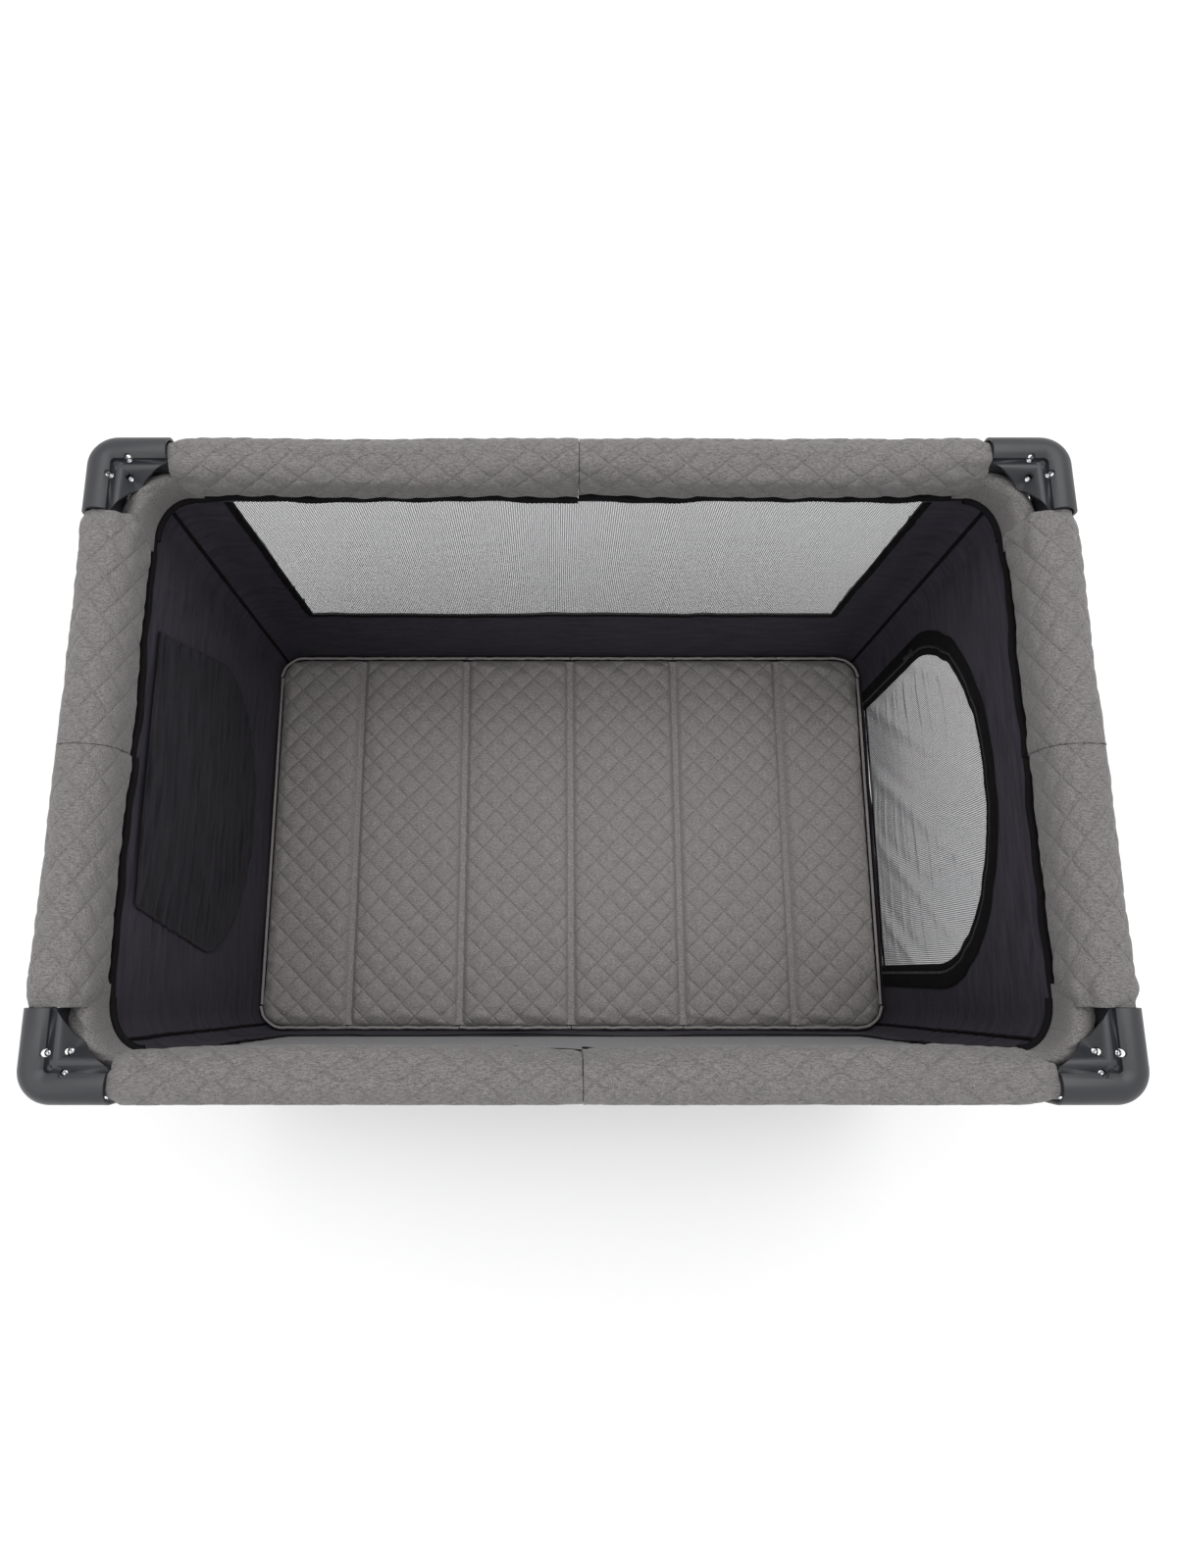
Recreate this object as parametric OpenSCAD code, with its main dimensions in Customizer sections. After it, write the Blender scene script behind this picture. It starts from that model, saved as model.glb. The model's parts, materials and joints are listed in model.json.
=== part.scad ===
// Folding playpen: four corner posts, hinged top rails with centre locks, a lift-up floor hub,
// fabric walls with mesh windows, a zipped side door and a fold-up mattress.
// Origin: on the floor under the middle. +X along the long side, +Y away from the near side, +Z up.

/* [Overall size] */
// Length over the corner caps
frame_w = 1120; // [900:5:1400]
// Depth over the corner caps
frame_d = 725; // [600:5:900]
// Height of the corner caps above the floor
frame_h = 770; // [650:5:900]

/* [Corner posts] */
// Outer diameter of a post tube
post_d = 25; // [20:0.5:30]
// Wall of a post tube
post_wall = 1.5; // [1:0.1:2.5]
// Post axis in from both outer edges
post_inset = 28; // [24:0.5:34]

/* [Top rails] */
// Outer diameter of a rail tube
rail_d = 22; // [18:0.5:25]
// Wall of a rail tube
rail_wall = 1.2; // [0.8:0.1:2]
// Rail axis in from the outer edge
rail_inset = 19; // [18:0.5:24]
// Rail axis below the top of the caps
rail_drop = 20; // [19:0.5:26]
// Cap pivot in from the outer corner
cap_pivot_in = 70; // [66:1:90]
// Lock pivot from the middle of a side
lock_pivot = 30; // [26:1:40]
// Diameter of every pivot pin
pin_d = 6; // [4:0.5:7]
// Radial clearance of a running pivot
pin_gap = 0.05; // [0.02:0.01:0.1]

/* [Corner caps] */
// Length of a cap arm from the outer corner
cap_arm = 93; // [90:1:120]
// Outer corner radius of a cap in plan
cap_r = 36; // [34:1:40]
// Wall of the cap moulding
cap_wall = 3; // [2:0.25:3.5]
// Inner edge of the cap flange in from the outer edge
cap_flange = 60; // [56:1:64]

/* [Centre locks] */
// Inner width of the lock channel
lock_w = 24; // [23:0.5:26]
// Wall of the lock channel
lock_wall = 2; // [1.5:0.25:2.5]
// Lock channel length past each pivot
lock_end = 16; // [14:0.5:20]
// Travel of the release button
button_travel = 4.5; // [2:0.5:5]

/* [Padded rail covers] */
// Width of a padded cover
pad_w = 64; // [60:1:80]
// Height of a padded cover
pad_h = 72; // [66:1:90]
// Radius of the outer top edge
pad_r = 19; // [12:1:22]
// Radius of the inner top edge
pad_inner_r = 30; // [20:1:34]

/* [Floor frame] */
// Outer diameter of a base tube
base_d = 16; // [12:0.5:18]
// Wall of a base tube
base_wall = 1.2; // [0.8:0.1:1.6]
// Height of the base pivots above the floor
base_z = 22; // [20:0.5:26]
// Hub pivots from the hub centre, along X and along Y
hub_pivot = 32; // [30:1:40]
// Foot pivots in from the post axis, along X and along Y
foot_pivot = 40; // [36:1:46]
// Height of the foot socket
foot_h = 70; // [50:1:90]

/* [Walls] */
// Thickness of the wall fabric
wall_t = 2; // [1.5:0.25:3]
// Wall foot in from the outer edge
wall_foot_in = 31; // [30:0.5:36]
// Height of the wall foot above the floor
wall_foot_z = 40; // [38:1:60]
// Half width of a mesh window
mesh_half = 420; // [300:5:440]
// Height of the lower edge of a mesh window
mesh_low = 280; // [200:5:400]
// Thickness of the mesh
mesh_t = 1.2; // [0.8:0.1:1.5]

/* [Door and pocket] */
// Radius of the door arch
door_r = 235; // [180:1:250]
// Length of the door up to the middle of the arch, from the hinge
door_straight = 285; // [200:5:320]
// Door hinge above the wall foot
door_low = 32; // [25:1:60]
// Gap between the door and the wall, filled by the zip
door_gap = 1; // [0.5:0.1:2]
// Width of the closed end of the zip slider
slider_w = 12; // [8:1:16]
// Radius of the pocket's round end
pocket_r = 200; // [150:5:220]
// Height of the pocket up to the middle of the round end
pocket_straight = 270; // [200:5:300]
// Thickness of the pocket cloth
pocket_t = 1.2; // [0.8:0.1:2]

/* [Mattress] */
// Top of the mattress above the floor
mattress_top = 68; // [62:1:90]
// Underside of the mattress above the floor
mattress_low = 39; // [38.5:0.5:45]
// Gap between the mattress and the wall foot
mattress_gap = 5; // [3:0.5:10]
// Length of each end segment
end_segment = 148; // [100:1:200]
// Number of mattress segments
segments = 6; // [6:1:6]
// Thickness of the stiffening boards
board_t = 3; // [2:0.5:5]
// Gap between two segments
fold_gap = 1; // [0.6:0.1:2]

/* [Hidden] */
CORNERS = ["nl", "nr", "fl", "fr"];
SIDES = ["near", "far", "left", "right"];

$fn = 48;
clear = 0.3;              // clearance between pieces that only lie side by side
eps = 0.01;               // overrun of a cut
half_w = frame_w / 2;
half_d = frame_d / 2;
rail_z = frame_h - rail_drop;
pin_r = pin_d / 2;
eye_w = rail_d - 2;       // width of a rail's moulded end eye
eye_room = 1.5;           // room round that eye in a cover
vent_d = 4;               // vent hole under a closed tube
plan_r = 40;              // corner radius of the floor cloth and mattress, clear of the posts

charcoal = "#38383c";
heather = "#8f918f";
ripstop = "#2d2a30";
mesh_grey = "#a0a5a5";

// ---------- helpers ----------

// Corner sign: -1 or 1 along X and Y for a corner's name
function corner_x(c) = c[1] == "l" ? -1 : 1;
function corner_y(c) = c[0] == "n" ? -1 : 1;

// Puts children drawn from an outer corner, inwards along +X and +Y, at a named corner
module at_corner(c) {
    mirror([corner_x(c) > 0 ? 1 : 0, 0, 0]) mirror([0, corner_y(c) > 0 ? 1 : 0, 0])
        translate([-half_w, -half_d, 0]) children();
}

// Swaps X and Y, for the pieces of the short sides
module swapped() { mirror([1, -1, 0]) children(); }

// Puts children drawn on the near side, with Y counted in from its outer edge, on a named side
module at_side(s) {
    if (s == "near") translate([0, -half_d, 0]) children();
    if (s == "far") mirror([0, 1, 0]) translate([0, -half_d, 0]) children();
    if (s == "left") swapped() translate([0, -half_w, 0]) children();
    if (s == "right") mirror([1, 0, 0]) swapped() translate([0, -half_w, 0]) children();
}

// Points of an arc from angle a to angle b
function arc(cx, cy, r, a, b, n = 10) = [for (i = [0:n]) let (t = a + (b - a) * i / n)
    [cx + r * cos(t), cy + r * sin(t)]];

// A round rod along Y with its middle at the origin
module rod_y(r, l) { rotate([90, 0, 0]) cylinder(r = r, h = l, center = true); }

// A plate in plan with rounded corners
module round_plate(w, d, r, h) {
    union() {
        translate([-w / 2 + r, -d / 2, 0]) cube([w - 2 * r, d, h]);
        translate([-w / 2, -d / 2 + r, 0]) cube([w, d - 2 * r, h]);
        for (x = [-1, 1], y = [-1, 1])
            translate([x * (w / 2 - r), y * (d / 2 - r), 0]) cylinder(r = r, h = h);
    }
}

// ---------- corner posts ----------

module leg(c) {
    at_corner(c) color("#4a4a4e") translate([post_inset, post_inset, 0]) difference() {
        translate([0, 0, foot_floor]) cylinder(d = post_d, h = leg_top - foot_floor);
        translate([0, 0, foot_floor - eps])
            cylinder(d = post_d - 2 * post_wall, h = leg_top - foot_floor + 2 * eps);
    }
}
foot_floor = 8;                          // thickness under the post
leg_top = frame_h - cap_wall - 22;       // post ends inside the cap's socket
post_fit = 0.05;                         // radial gap of a post in its sockets

// direction of the base tubes in plan, from a foot to the hub
span_x = half_w - post_inset - foot_pivot - hub_pivot;
span_y = half_d - post_inset - foot_pivot - hub_pivot;
base_turn = atan2(span_y, span_x);
base_len = norm([span_x, span_y]);
base_eye = base_d - 1;                   // width of a base tube's end eye
base_slot = base_d + 1;                  // width of the slots that hold the end eyes

// Foot: a socket for the post, with a forked arm that holds a base tube
module foot(c) {
    fork = base_slot + 8;
    at_corner(c) color(charcoal) translate([post_inset, post_inset, 0]) difference() {
        union() {
            cylinder(d = post_d + 8, h = foot_h);
            cylinder(d = post_d + 17, h = foot_floor);
            rotate([0, 0, 45]) translate([0, -9, 5])
                cube([norm([foot_pivot, foot_pivot]) - 8, 18, base_z + 6]);
            translate([foot_pivot, foot_pivot, 0]) rotate([0, 0, base_turn])
                translate([-15, -fork / 2, 4]) cube([24, fork, base_z + 8]);
        }
        translate([0, 0, foot_floor]) cylinder(d = post_d + 2 * post_fit, h = foot_h);
        translate([foot_pivot, foot_pivot, base_z]) rotate([0, 0, base_turn]) {
            translate([-base_d / 2 - 1.2, -base_slot / 2, -base_d / 2 - 1.2]) cube([60, base_slot, 60]);
            rod_y(pin_r + post_fit / 2, fork + 10);
        }
    }
}

// ---------- corner caps ----------

valley_in = 31;          // middle of the groove inside the outer roll
bead_in = 41;            // middle of the raised bead
bead_r = 5.5;
skirt_low = rail_z - 24; // lower edge of the outer skirt
roll_r = rail_inset;

// Outline of the cap moulding across an arm, grown inwards by t
function cap_profile(t) = concat(
    arc(roll_r, frame_h - roll_r, roll_r - t, 180, 50, 14),
    [[valley_in - t / 3, frame_h - 9 - t]],
    arc(bead_in, frame_h - 11, bead_r - t / 2, 140, 40, 8),
    [[cap_flange - 4, frame_h - 20 - t], [cap_flange + t, frame_h - 23 - t],
     [cap_flange + t, skirt_low - 20], [t, skirt_low - 20]]);

// One arm of the moulded skin, from the turn to the arm's end
module cap_arm_solid(t) {
    translate([cap_r, 0, 0]) rotate([90, 0, 90]) linear_extrude(cap_arm - cap_r + t)
        polygon(cap_profile(t));
}

// The turn of the outer roll round the corner, with a round boss at its centre
module cap_turn(t) {
    translate([cap_r, cap_r, 0]) {
        rotate([0, 0, 180]) rotate_extrude(angle = 90, $fn = 64) intersection() {
            polygon([for (p = cap_profile(t)) [cap_r - p[0], p[1]]]);
            translate([1, 0]) square([cap_r, frame_h + 10]);
        }
        translate([0, 0, skirt_low - 20]) cylinder(r = turn_boss_r - t / 2, h = frame_h - 7.4 - t - skirt_low + 20);
    }
}
turn_boss_r = 3;

module cap_body(t) {
    union() {
        cap_arm_solid(t);
        swapped() cap_arm_solid(t);
        cap_turn(t);
    }
}

// S-shaped plan outline of the flange: how far an arm reaches at distance u from its outer edge
function arm_reach(u) = let (s = max(0, min(1, (u - 33) / (cap_flange - 33))))
    cap_arm - (cap_arm - cap_flange - 2) * s * s * (3 - 2 * s);
cap_outline = concat(
    [[-5, -5], [cap_arm, -5]],
    [for (i = [0:12]) let (u = 33 + (cap_flange - 33) * i / 12) [arm_reach(u), u]],
    [for (i = [12:-1:0]) let (u = 33 + (cap_flange - 33) * i / 12) [u, arm_reach(u)]],
    [[-5, cap_arm]]);

// Centres of the three cap screws, from the outer corner
screws = [[50, valley_in], [valley_in, 50], [51, 51]];
screw_z = [frame_h - 11.5, frame_h - 11.5, frame_h - 17];

module cap(c) {
    rib = rail_inset + lock_w / 2 + 2.5;     // inner wall of the rail channel
    at_corner(c) color(charcoal) difference() {
        intersection() {
            union() {
                difference() { cap_body(0); cap_body(cap_wall); }
                // inner walls of the two rail channels
                for (k = [0, 1]) mirror([k, -k, 0])
                    translate([52, rib, skirt_low]) cube([cap_arm - 52, cap_wall, 36]);
                // socket for the post and the screw posts
                translate([post_inset, post_inset, leg_top - 26])
                    cylinder(d = post_d + 6, h = frame_h - leg_top + 26);
                for (i = [0:2]) translate([screws[i][0], screws[i][1], frame_h - 34])
                    cylinder(d = 8, h = screw_z[i] - frame_h + 34);
            }
            cap_body(0);
            translate([0, 0, skirt_low]) linear_extrude(60) polygon(cap_outline);
        }
        translate([post_inset, post_inset, skirt_low - 20])
            cylinder(d = post_d + 2 * post_fit, h = leg_top - skirt_low + 20);
        for (k = [0, 1]) mirror([k, -k, 0]) {
            // clear way for the rail end, and its pin
            translate([cap_pivot_in - rail_d / 2 - 1.5, rail_inset - lock_w / 2, skirt_low - 1])
                cube([60, lock_w, rail_z - skirt_low + 1]);
            translate([cap_pivot_in, 0, rail_z]) translate([0, 1.5 + 20, 0])
                rod_y(pin_r + post_fit / 2, 40);
        }
        for (i = [0:2]) translate([screws[i][0], screws[i][1], 0]) {
            translate([0, 0, frame_h - 36]) cylinder(d = 3.2, h = 60);
            translate([0, 0, screw_z[i] - 1]) cylinder(d = 8, h = 20);
        }
    }
}

// A cross-recess screw, its head's seat at the origin
module screw() {
    difference() {
        union() {
            intersection() {
                cylinder(d = 7.4, h = 2.6);
                translate([0, 0, -3]) sphere(r = 5.9, $fn = 32);
            }
            translate([0, 0, -14]) cylinder(d = 3, h = 14.5);
        }
        for (a = [0, 90]) rotate([0, 0, a]) translate([-2.2, -0.5, 1.4]) cube([4.4, 1, 3]);
    }
}

// Per post: three cap screws, two cap pins and the foot pin
module post_fasteners(c) {
    at_corner(c) color("#b9bbbd") {
        for (i = [0:2]) translate([screws[i][0], screws[i][1], screw_z[i] - 1]) screw();
        for (k = [0, 1]) mirror([k, -k, 0])
            translate([cap_pivot_in, 2 + 18.5, rail_z]) rod_y(pin_r, 37);
        translate([post_inset + foot_pivot, post_inset + foot_pivot, base_z])
            rotate([0, 0, base_turn]) rod_y(pin_r, base_slot + 8);
    }
}

// ---------- rails ----------

// A rail half between its cap pivot and its lock pivot; span is half the side
module rail_half(span) {
    len = span - cap_pivot_in - lock_pivot;
    color("#5a5a5e") translate([cap_pivot_in, rail_inset, rail_z]) difference() {
        union() {
            rotate([0, 90, 0]) cylinder(d = rail_d, h = len);
            for (x = [0, len]) translate([x, 0, 0]) rod_y(rail_d / 2, eye_w);
        }
        for (x = [0, len]) translate([x, 0, 0]) rod_y(pin_r + pin_gap, rail_d + 2);
        translate([rail_d, 0, 0]) rotate([0, 90, 0])
            cylinder(d = rail_d - 2 * rail_wall, h = len - 2 * rail_d);
        translate([2 * rail_d, 0, -rail_d]) cylinder(d = vent_d, h = rail_d);
    }
}

// Section of a padded cover across the rail: outside, then the passage for the rail and lock
module cover_section() {
    top = frame_h - 1;
    low = top - pad_h;
    difference() {
        polygon(concat(
            [[0.6, low + 8]],
            arc(0.6 + pad_r, top - pad_r, pad_r, 180, 90),
            arc(pad_w - pad_inner_r, top - pad_inner_r, pad_inner_r, 90, 0),
            arc(pad_w - 6, low + 6, 6, 0, -90, 4),
            arc(8.6, low + 8, 8, -90, -180, 4)));
        translate([rail_inset - passage_w / 2, rail_z - 34]) square([passage_w, 34 + lock_above + 1.5]);
        translate([rail_inset, rail_z]) circle(r = rail_d / 2 + 1.3);
    }
}
lock_above = 5;                          // lock walls above the rail axis
passage_w = lock_w + 2 * lock_wall + 2;

// Half of a padded cover, from the cap to the middle seam, with its tail under the cap flange
module cover_half(span) {
    tail = max(cap_flange + 5, pad_w + 1);   // clear of the tail round the corner
    color(heather) union() {
        difference() {
            translate([cap_arm + 1, 0, 0]) rotate([90, 0, 90]) linear_extrude(span - cap_arm - 1 - clear)
                cover_section();
            translate([span - lock_pivot, rail_inset, rail_z]) rod_y(rail_d / 2 + eye_room, eye_w + 2 * eye_room);
        }
        translate([tail, 47, frame_h - 1 - pad_h]) cube([cap_arm + 2 - tail, pad_w - 47, 34]);
    }
}

// ---------- centre locks ----------

module lock(s) {
    len = lock_pivot + lock_end;
    low = rail_z - rail_d / 2 - 1.5;
    out = lock_w / 2 + lock_wall;
    at_side(s) translate([0, rail_inset, 0]) {
        color(charcoal) difference() {
            translate([-len, -out, low - lock_wall]) cube([2 * len, 2 * out, rail_z + lock_above - low + lock_wall]);
            translate([-len - 1, -lock_w / 2, low]) cube([2 * len + 2, lock_w, 60]);
            for (x = [-1, 1]) translate([x * lock_pivot, 0, rail_z])
                rod_y(pin_r + post_fit / 2, 2 * out + 2);
            translate([0, 0, low - lock_wall - 1]) cylinder(r = button_r + 0.2, h = lock_wall + 2);
        }
        color("#b9bbbd") for (x = [-1, 1]) translate([x * lock_pivot, 0, rail_z])
            rod_y(pin_r, 2 * out);
    }
}
button_r = 6;

// Release button under the lock: a wide thumb pad on a round stem with a collar inside the channel
module lock_button(s) {
    low = rail_z - rail_d / 2 - 1.5;
    under = low - lock_wall;
    at_side(s) translate([0, rail_inset, 0]) color("#1f1f22") union() {
        translate([-16, -8, under - button_travel - clear - 4]) cube([32, 16, 4]);
        translate([0, 0, under - button_travel - clear - 1])
            cylinder(r = button_r, h = lock_wall + button_travel + clear + 5);
        translate([0, 0, low + clear]) cylinder(r = button_r + 2, h = 3.5);
    }
}

// ---------- floor frame ----------

module hub() {
    color(charcoal) difference() {
        union() {
            translate([0, 0, base_z - 9]) round_plate(2 * hub_pivot + 34, 2 * hub_pivot + 34, 14, 21);
            cylinder(r = hub_foot_r, h = base_z + 8);
        }
        for (x = [0, 1], y = [0, 1]) mirror([x, 0, 0]) mirror([0, y, 0])
            translate([hub_pivot, hub_pivot, base_z]) rotate([0, 0, base_turn]) {
                translate([-base_d / 2 - 1.2, -base_slot / 2, -20]) cube([80, base_slot, 29.2]);
                rod_y(pin_r + post_fit / 2, hub_pin + 1);
            }
    }
    color("#b9bbbd") for (x = [0, 1], y = [0, 1]) mirror([x, 0, 0]) mirror([0, y, 0])
        translate([hub_pivot, hub_pivot, base_z]) rotate([0, 0, base_turn]) rod_y(pin_r, hub_pin);
}
hub_pin = base_slot + 8;
hub_foot_r = 24;          // the hub's own foot, which carries the mattress

module base_tube(c) {
    at_corner(c) color("#5a5a5e")
        translate([post_inset + foot_pivot, post_inset + foot_pivot, base_z]) rotate([0, 0, base_turn])
        difference() {
            union() {
                rotate([0, 90, 0]) cylinder(d = base_d, h = base_len);
                for (x = [0, base_len]) translate([x, 0, 0]) rod_y(base_d / 2, base_eye);
            }
            for (x = [0, base_len]) translate([x, 0, 0]) rod_y(pin_r + pin_gap, base_d + 2);
            translate([base_d, 0, 0]) rotate([0, 90, 0])
                cylinder(d = base_d - 2 * base_wall, h = base_len - 2 * base_d);
            translate([2 * base_d, 0, -base_d]) cylinder(d = vent_d, h = base_d);
        }
}

// ---------- fabric ----------

wall_top_in = pad_w - wall_t;                    // top of a wall in from the outer edge
wall_top_z = frame_h - 1 - pad_h - clear - 0.2;
wall_rise = wall_top_z - wall_foot_z;
wall_lean = atan2(wall_top_in - wall_foot_in, wall_rise);
wall_len = norm([wall_top_in - wall_foot_in, wall_rise]);

// Puts children drawn as a flat wall, X along it, Z up it and Y inwards, on its leaning plane
module on_wall() {
    translate([0, wall_foot_in, wall_foot_z]) rotate([-wall_lean, 0, 0]) children();
}

module sheet(w, low, high, t) { translate([-w, -t / 2, low]) cube([2 * w, t, high - low]); }

// Sleeves of wall fabric round the two posts of a long side
module post_sleeves() {
    for (x = [-1, 1]) translate([x * (half_w - post_inset), post_inset, foot_h + 1]) difference() {
        cylinder(d = post_d + 9, h = skirt_low - 2 - foot_h - 1);
        translate([0, 0, -1]) cylinder(d = post_d + 2, h = frame_h);
    }
}
mesh_high = wall_len - 8;
long_half = half_w - wall_top_in - 3;      // half length of a long wall
short_half = half_d - wall_top_in - 3;     // half length of a short wall

module wall_long(s) {
    at_side(s) color(ripstop) {
        on_wall() difference() {
            sheet(long_half, 0, wall_len, wall_t);
            sheet(mesh_half, mesh_low - wall_foot_z, mesh_high, wall_t + 2);
        }
        post_sleeves();
    }
}

module mesh_window(s) {
    at_side(s) on_wall() color(mesh_grey)
        sheet(mesh_half - 0.1, mesh_low - wall_foot_z + 0.1, mesh_high - 0.1, mesh_t);
}

// Arch outline, grown by g: straight sides from a base line, with a half-round end
module arch(r, straight, t, g = 0) {
    union() {
        translate([-r - g, -t / 2, -g]) cube([2 * (r + g), t, straight + g]);
        translate([0, 0, straight]) rod_y(r + g, t);
    }
}

// Left wall with its storage pocket sewn on the inside, the pocket's mouth at the top
module wall_left() {
    at_side("left") color(ripstop) on_wall() {
        sheet(short_half, 0, wall_len, wall_t);
        translate([0, wall_t / 2 + pocket_t / 2, wall_len - 30]) rotate([180, 0, 0])
            arch(pocket_r, pocket_straight, pocket_t);
    }
}

module wall_right() {
    at_side("right") color(ripstop) on_wall() difference() {
        sheet(short_half, 0, wall_len, wall_t);
        translate([0, 0, door_low]) arch(door_r, door_straight, wall_t + 2, door_gap);
    }
}

module door_panel() {
    at_side("right") color(mesh_grey) on_wall() translate([0, 0, door_low])
        arch(door_r, door_straight, mesh_t);
}

// Zip slider with its pull, lying on the inside of the zip at the foot of the arch
module zip_slider() {
    at_side("right") color("#1f1f22") on_wall()
        translate([door_r + door_gap / 2, wall_t / 2 + clear + 2, door_low + door_straight]) union() {
            translate([-slider_w / 2, -2, -7]) cube([slider_w, 4, 14]);
            translate([-3, -1, -34]) cube([6, 2, 28]);
        }
}

module floor_panel() {
    w = frame_w - 2 * (wall_foot_in + 6);
    d = frame_d - 2 * (wall_foot_in + 6);
    color(ripstop) translate([0, 0, base_z + 14]) round_plate(w, d, plan_r, 2);
}

// ---------- mattress ----------

mattress_w = frame_w - 2 * (wall_foot_in + mattress_gap);
mattress_d = frame_d - 2 * (wall_foot_in + mattress_gap);
mid_segment = (mattress_w - 2 * end_segment) / (segments - 2);

// Left edge of segment i, counted from 1
function segment_x(i) = -mattress_w / 2 + (i == 1 ? 0 : end_segment + (i - 2) * mid_segment);
function segment_w(i) = (i == 1 || i == segments) ? end_segment : mid_segment;

module mattress(i) {
    first = i == 1 ? 0 : fold_gap / 2;
    last = i == segments ? 0 : fold_gap / 2;
    x0 = segment_x(i) + first;
    x1 = segment_x(i) + segment_w(i) - last;
    h = mattress_top - mattress_low;
    color(heather) difference() {
        intersection() {
            translate([0, 0, mattress_low]) round_plate(mattress_w, mattress_d, plan_r, h);
            translate([x0, -mattress_d, mattress_low]) cube([x1 - x0, 2 * mattress_d, h]);
        }
        translate([x0 + 12, -mattress_d / 2 + plan_r, mattress_low + 2])
            cube([x1 - x0 - 24, mattress_d - 2 * plan_r, board_t + 0.2]);
    }
    color("#b08a5a") translate([x0 + 12.5, -mattress_d / 2 + plan_r + 0.5, mattress_low + 2.1])
        cube([x1 - x0 - 25, mattress_d - 2 * plan_r - 1, board_t]);
}

// ---------- assembly ----------

for (c = CORNERS) {
    leg(c);
    foot(c);
    cap(c);
    post_fasteners(c);
    base_tube(c);
}
for (c = CORNERS) {
    long = str(c[0] == "n" ? "near_" : "far_", c[1]);
    short = str(c[1] == "l" ? "left_" : "right_", c[0]);
    at_corner(c) rail_half(half_w);
    at_corner(c) swapped() rail_half(half_d);
    at_corner(c) cover_half(half_w);
    at_corner(c) swapped() cover_half(half_d);
}
for (s = SIDES) {
    lock(s);
    lock_button(s);
}
for (s = ["near", "far"]) {
    wall_long(s);
    mesh_window(s);
}
for (i = [1:segments]) mattress(i);
hub();
floor_panel();
wall_left();
wall_right();
door_panel();
zip_slider();
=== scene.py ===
"""A folding playpen: padded rails, fabric walls with mesh windows, a zipped door and a quilted mattress."""

import json
import math

import bpy
import numpy as np
from bpy.props import FloatProperty, IntProperty, StringProperty
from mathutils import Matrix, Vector

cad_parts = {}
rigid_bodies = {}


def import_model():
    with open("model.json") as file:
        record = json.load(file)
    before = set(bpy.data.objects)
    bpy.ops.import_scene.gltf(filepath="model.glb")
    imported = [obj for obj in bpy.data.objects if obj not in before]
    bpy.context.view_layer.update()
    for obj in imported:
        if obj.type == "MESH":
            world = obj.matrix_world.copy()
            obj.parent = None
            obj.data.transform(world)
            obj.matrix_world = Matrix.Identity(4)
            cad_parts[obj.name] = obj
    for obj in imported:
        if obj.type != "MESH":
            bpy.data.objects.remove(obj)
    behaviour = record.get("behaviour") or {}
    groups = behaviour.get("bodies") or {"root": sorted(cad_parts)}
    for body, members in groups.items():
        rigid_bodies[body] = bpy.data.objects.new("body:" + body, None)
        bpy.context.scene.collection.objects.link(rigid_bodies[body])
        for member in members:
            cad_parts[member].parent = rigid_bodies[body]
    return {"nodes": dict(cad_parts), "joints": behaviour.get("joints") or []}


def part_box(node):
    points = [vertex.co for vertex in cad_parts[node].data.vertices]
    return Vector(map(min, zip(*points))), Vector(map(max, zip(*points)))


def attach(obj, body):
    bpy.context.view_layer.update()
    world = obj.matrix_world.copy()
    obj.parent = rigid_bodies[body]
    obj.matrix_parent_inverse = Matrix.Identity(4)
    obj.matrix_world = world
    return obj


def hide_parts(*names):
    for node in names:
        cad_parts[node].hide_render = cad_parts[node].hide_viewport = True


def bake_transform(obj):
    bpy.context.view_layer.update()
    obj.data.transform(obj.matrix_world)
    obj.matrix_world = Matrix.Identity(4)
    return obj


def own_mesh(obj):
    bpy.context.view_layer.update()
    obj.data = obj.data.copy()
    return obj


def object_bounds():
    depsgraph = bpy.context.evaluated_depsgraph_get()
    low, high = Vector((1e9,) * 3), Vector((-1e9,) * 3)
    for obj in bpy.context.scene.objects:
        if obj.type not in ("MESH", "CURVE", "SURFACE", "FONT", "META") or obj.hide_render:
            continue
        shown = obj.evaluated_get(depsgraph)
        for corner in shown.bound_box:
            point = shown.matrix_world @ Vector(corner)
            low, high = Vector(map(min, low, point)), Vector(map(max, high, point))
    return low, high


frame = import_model()
CAD_BOX = [list(corner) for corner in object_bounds()]

bl_info = {
    "name": "Folding Playpen",
    "version": (1, 0, 0),
    "blender": (4, 5, 0),
    "location": "3D View > Sidebar > Playpen",
    "description": "Makes the cloth, padding, mesh, zip and finishes of a folding playpen",
    "category": "Add Mesh",
}

MM = 0.001
LONG_SIDES = ("near", "far")
CORNERS = ("nl", "nr", "fl", "fr")


# ---------- places read from the frame ----------

def half_size(axis):
    """Half of the frame's size along X (0) or Y (1)."""
    return (CAD_BOX[1][axis] - CAD_BOX[0][axis]) / 2


HALF = (half_size(0), half_size(1))
TOP = CAD_BOX[1][2]
COVER_LOW, COVER_HIGH = (corner.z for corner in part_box("cover_near_l"))
COVER_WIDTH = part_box("cover_near_l")[1].y - CAD_BOX[0][1]
PAD_WIDTH = (COVER_WIDTH - 0.016, COVER_WIDTH - 0.002)     # long sides, short sides
CAP_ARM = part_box("cap_nl")[1].x - CAD_BOX[0][0]
POST = tuple((low + high) / 2 for low, high in zip(*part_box("leg_nr")))
POST = (POST[0], -POST[1])
FLOOR_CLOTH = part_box("floor_panel")
MESH_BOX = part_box("mesh_far")
DOOR_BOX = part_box("door_panel")
MATTRESS_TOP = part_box("mattress_3")[1].z
MATTRESS_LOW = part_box("mattress_3")[0].z
RAIL_Z = sum(corner.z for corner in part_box("rail_near_l")) / 2
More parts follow.
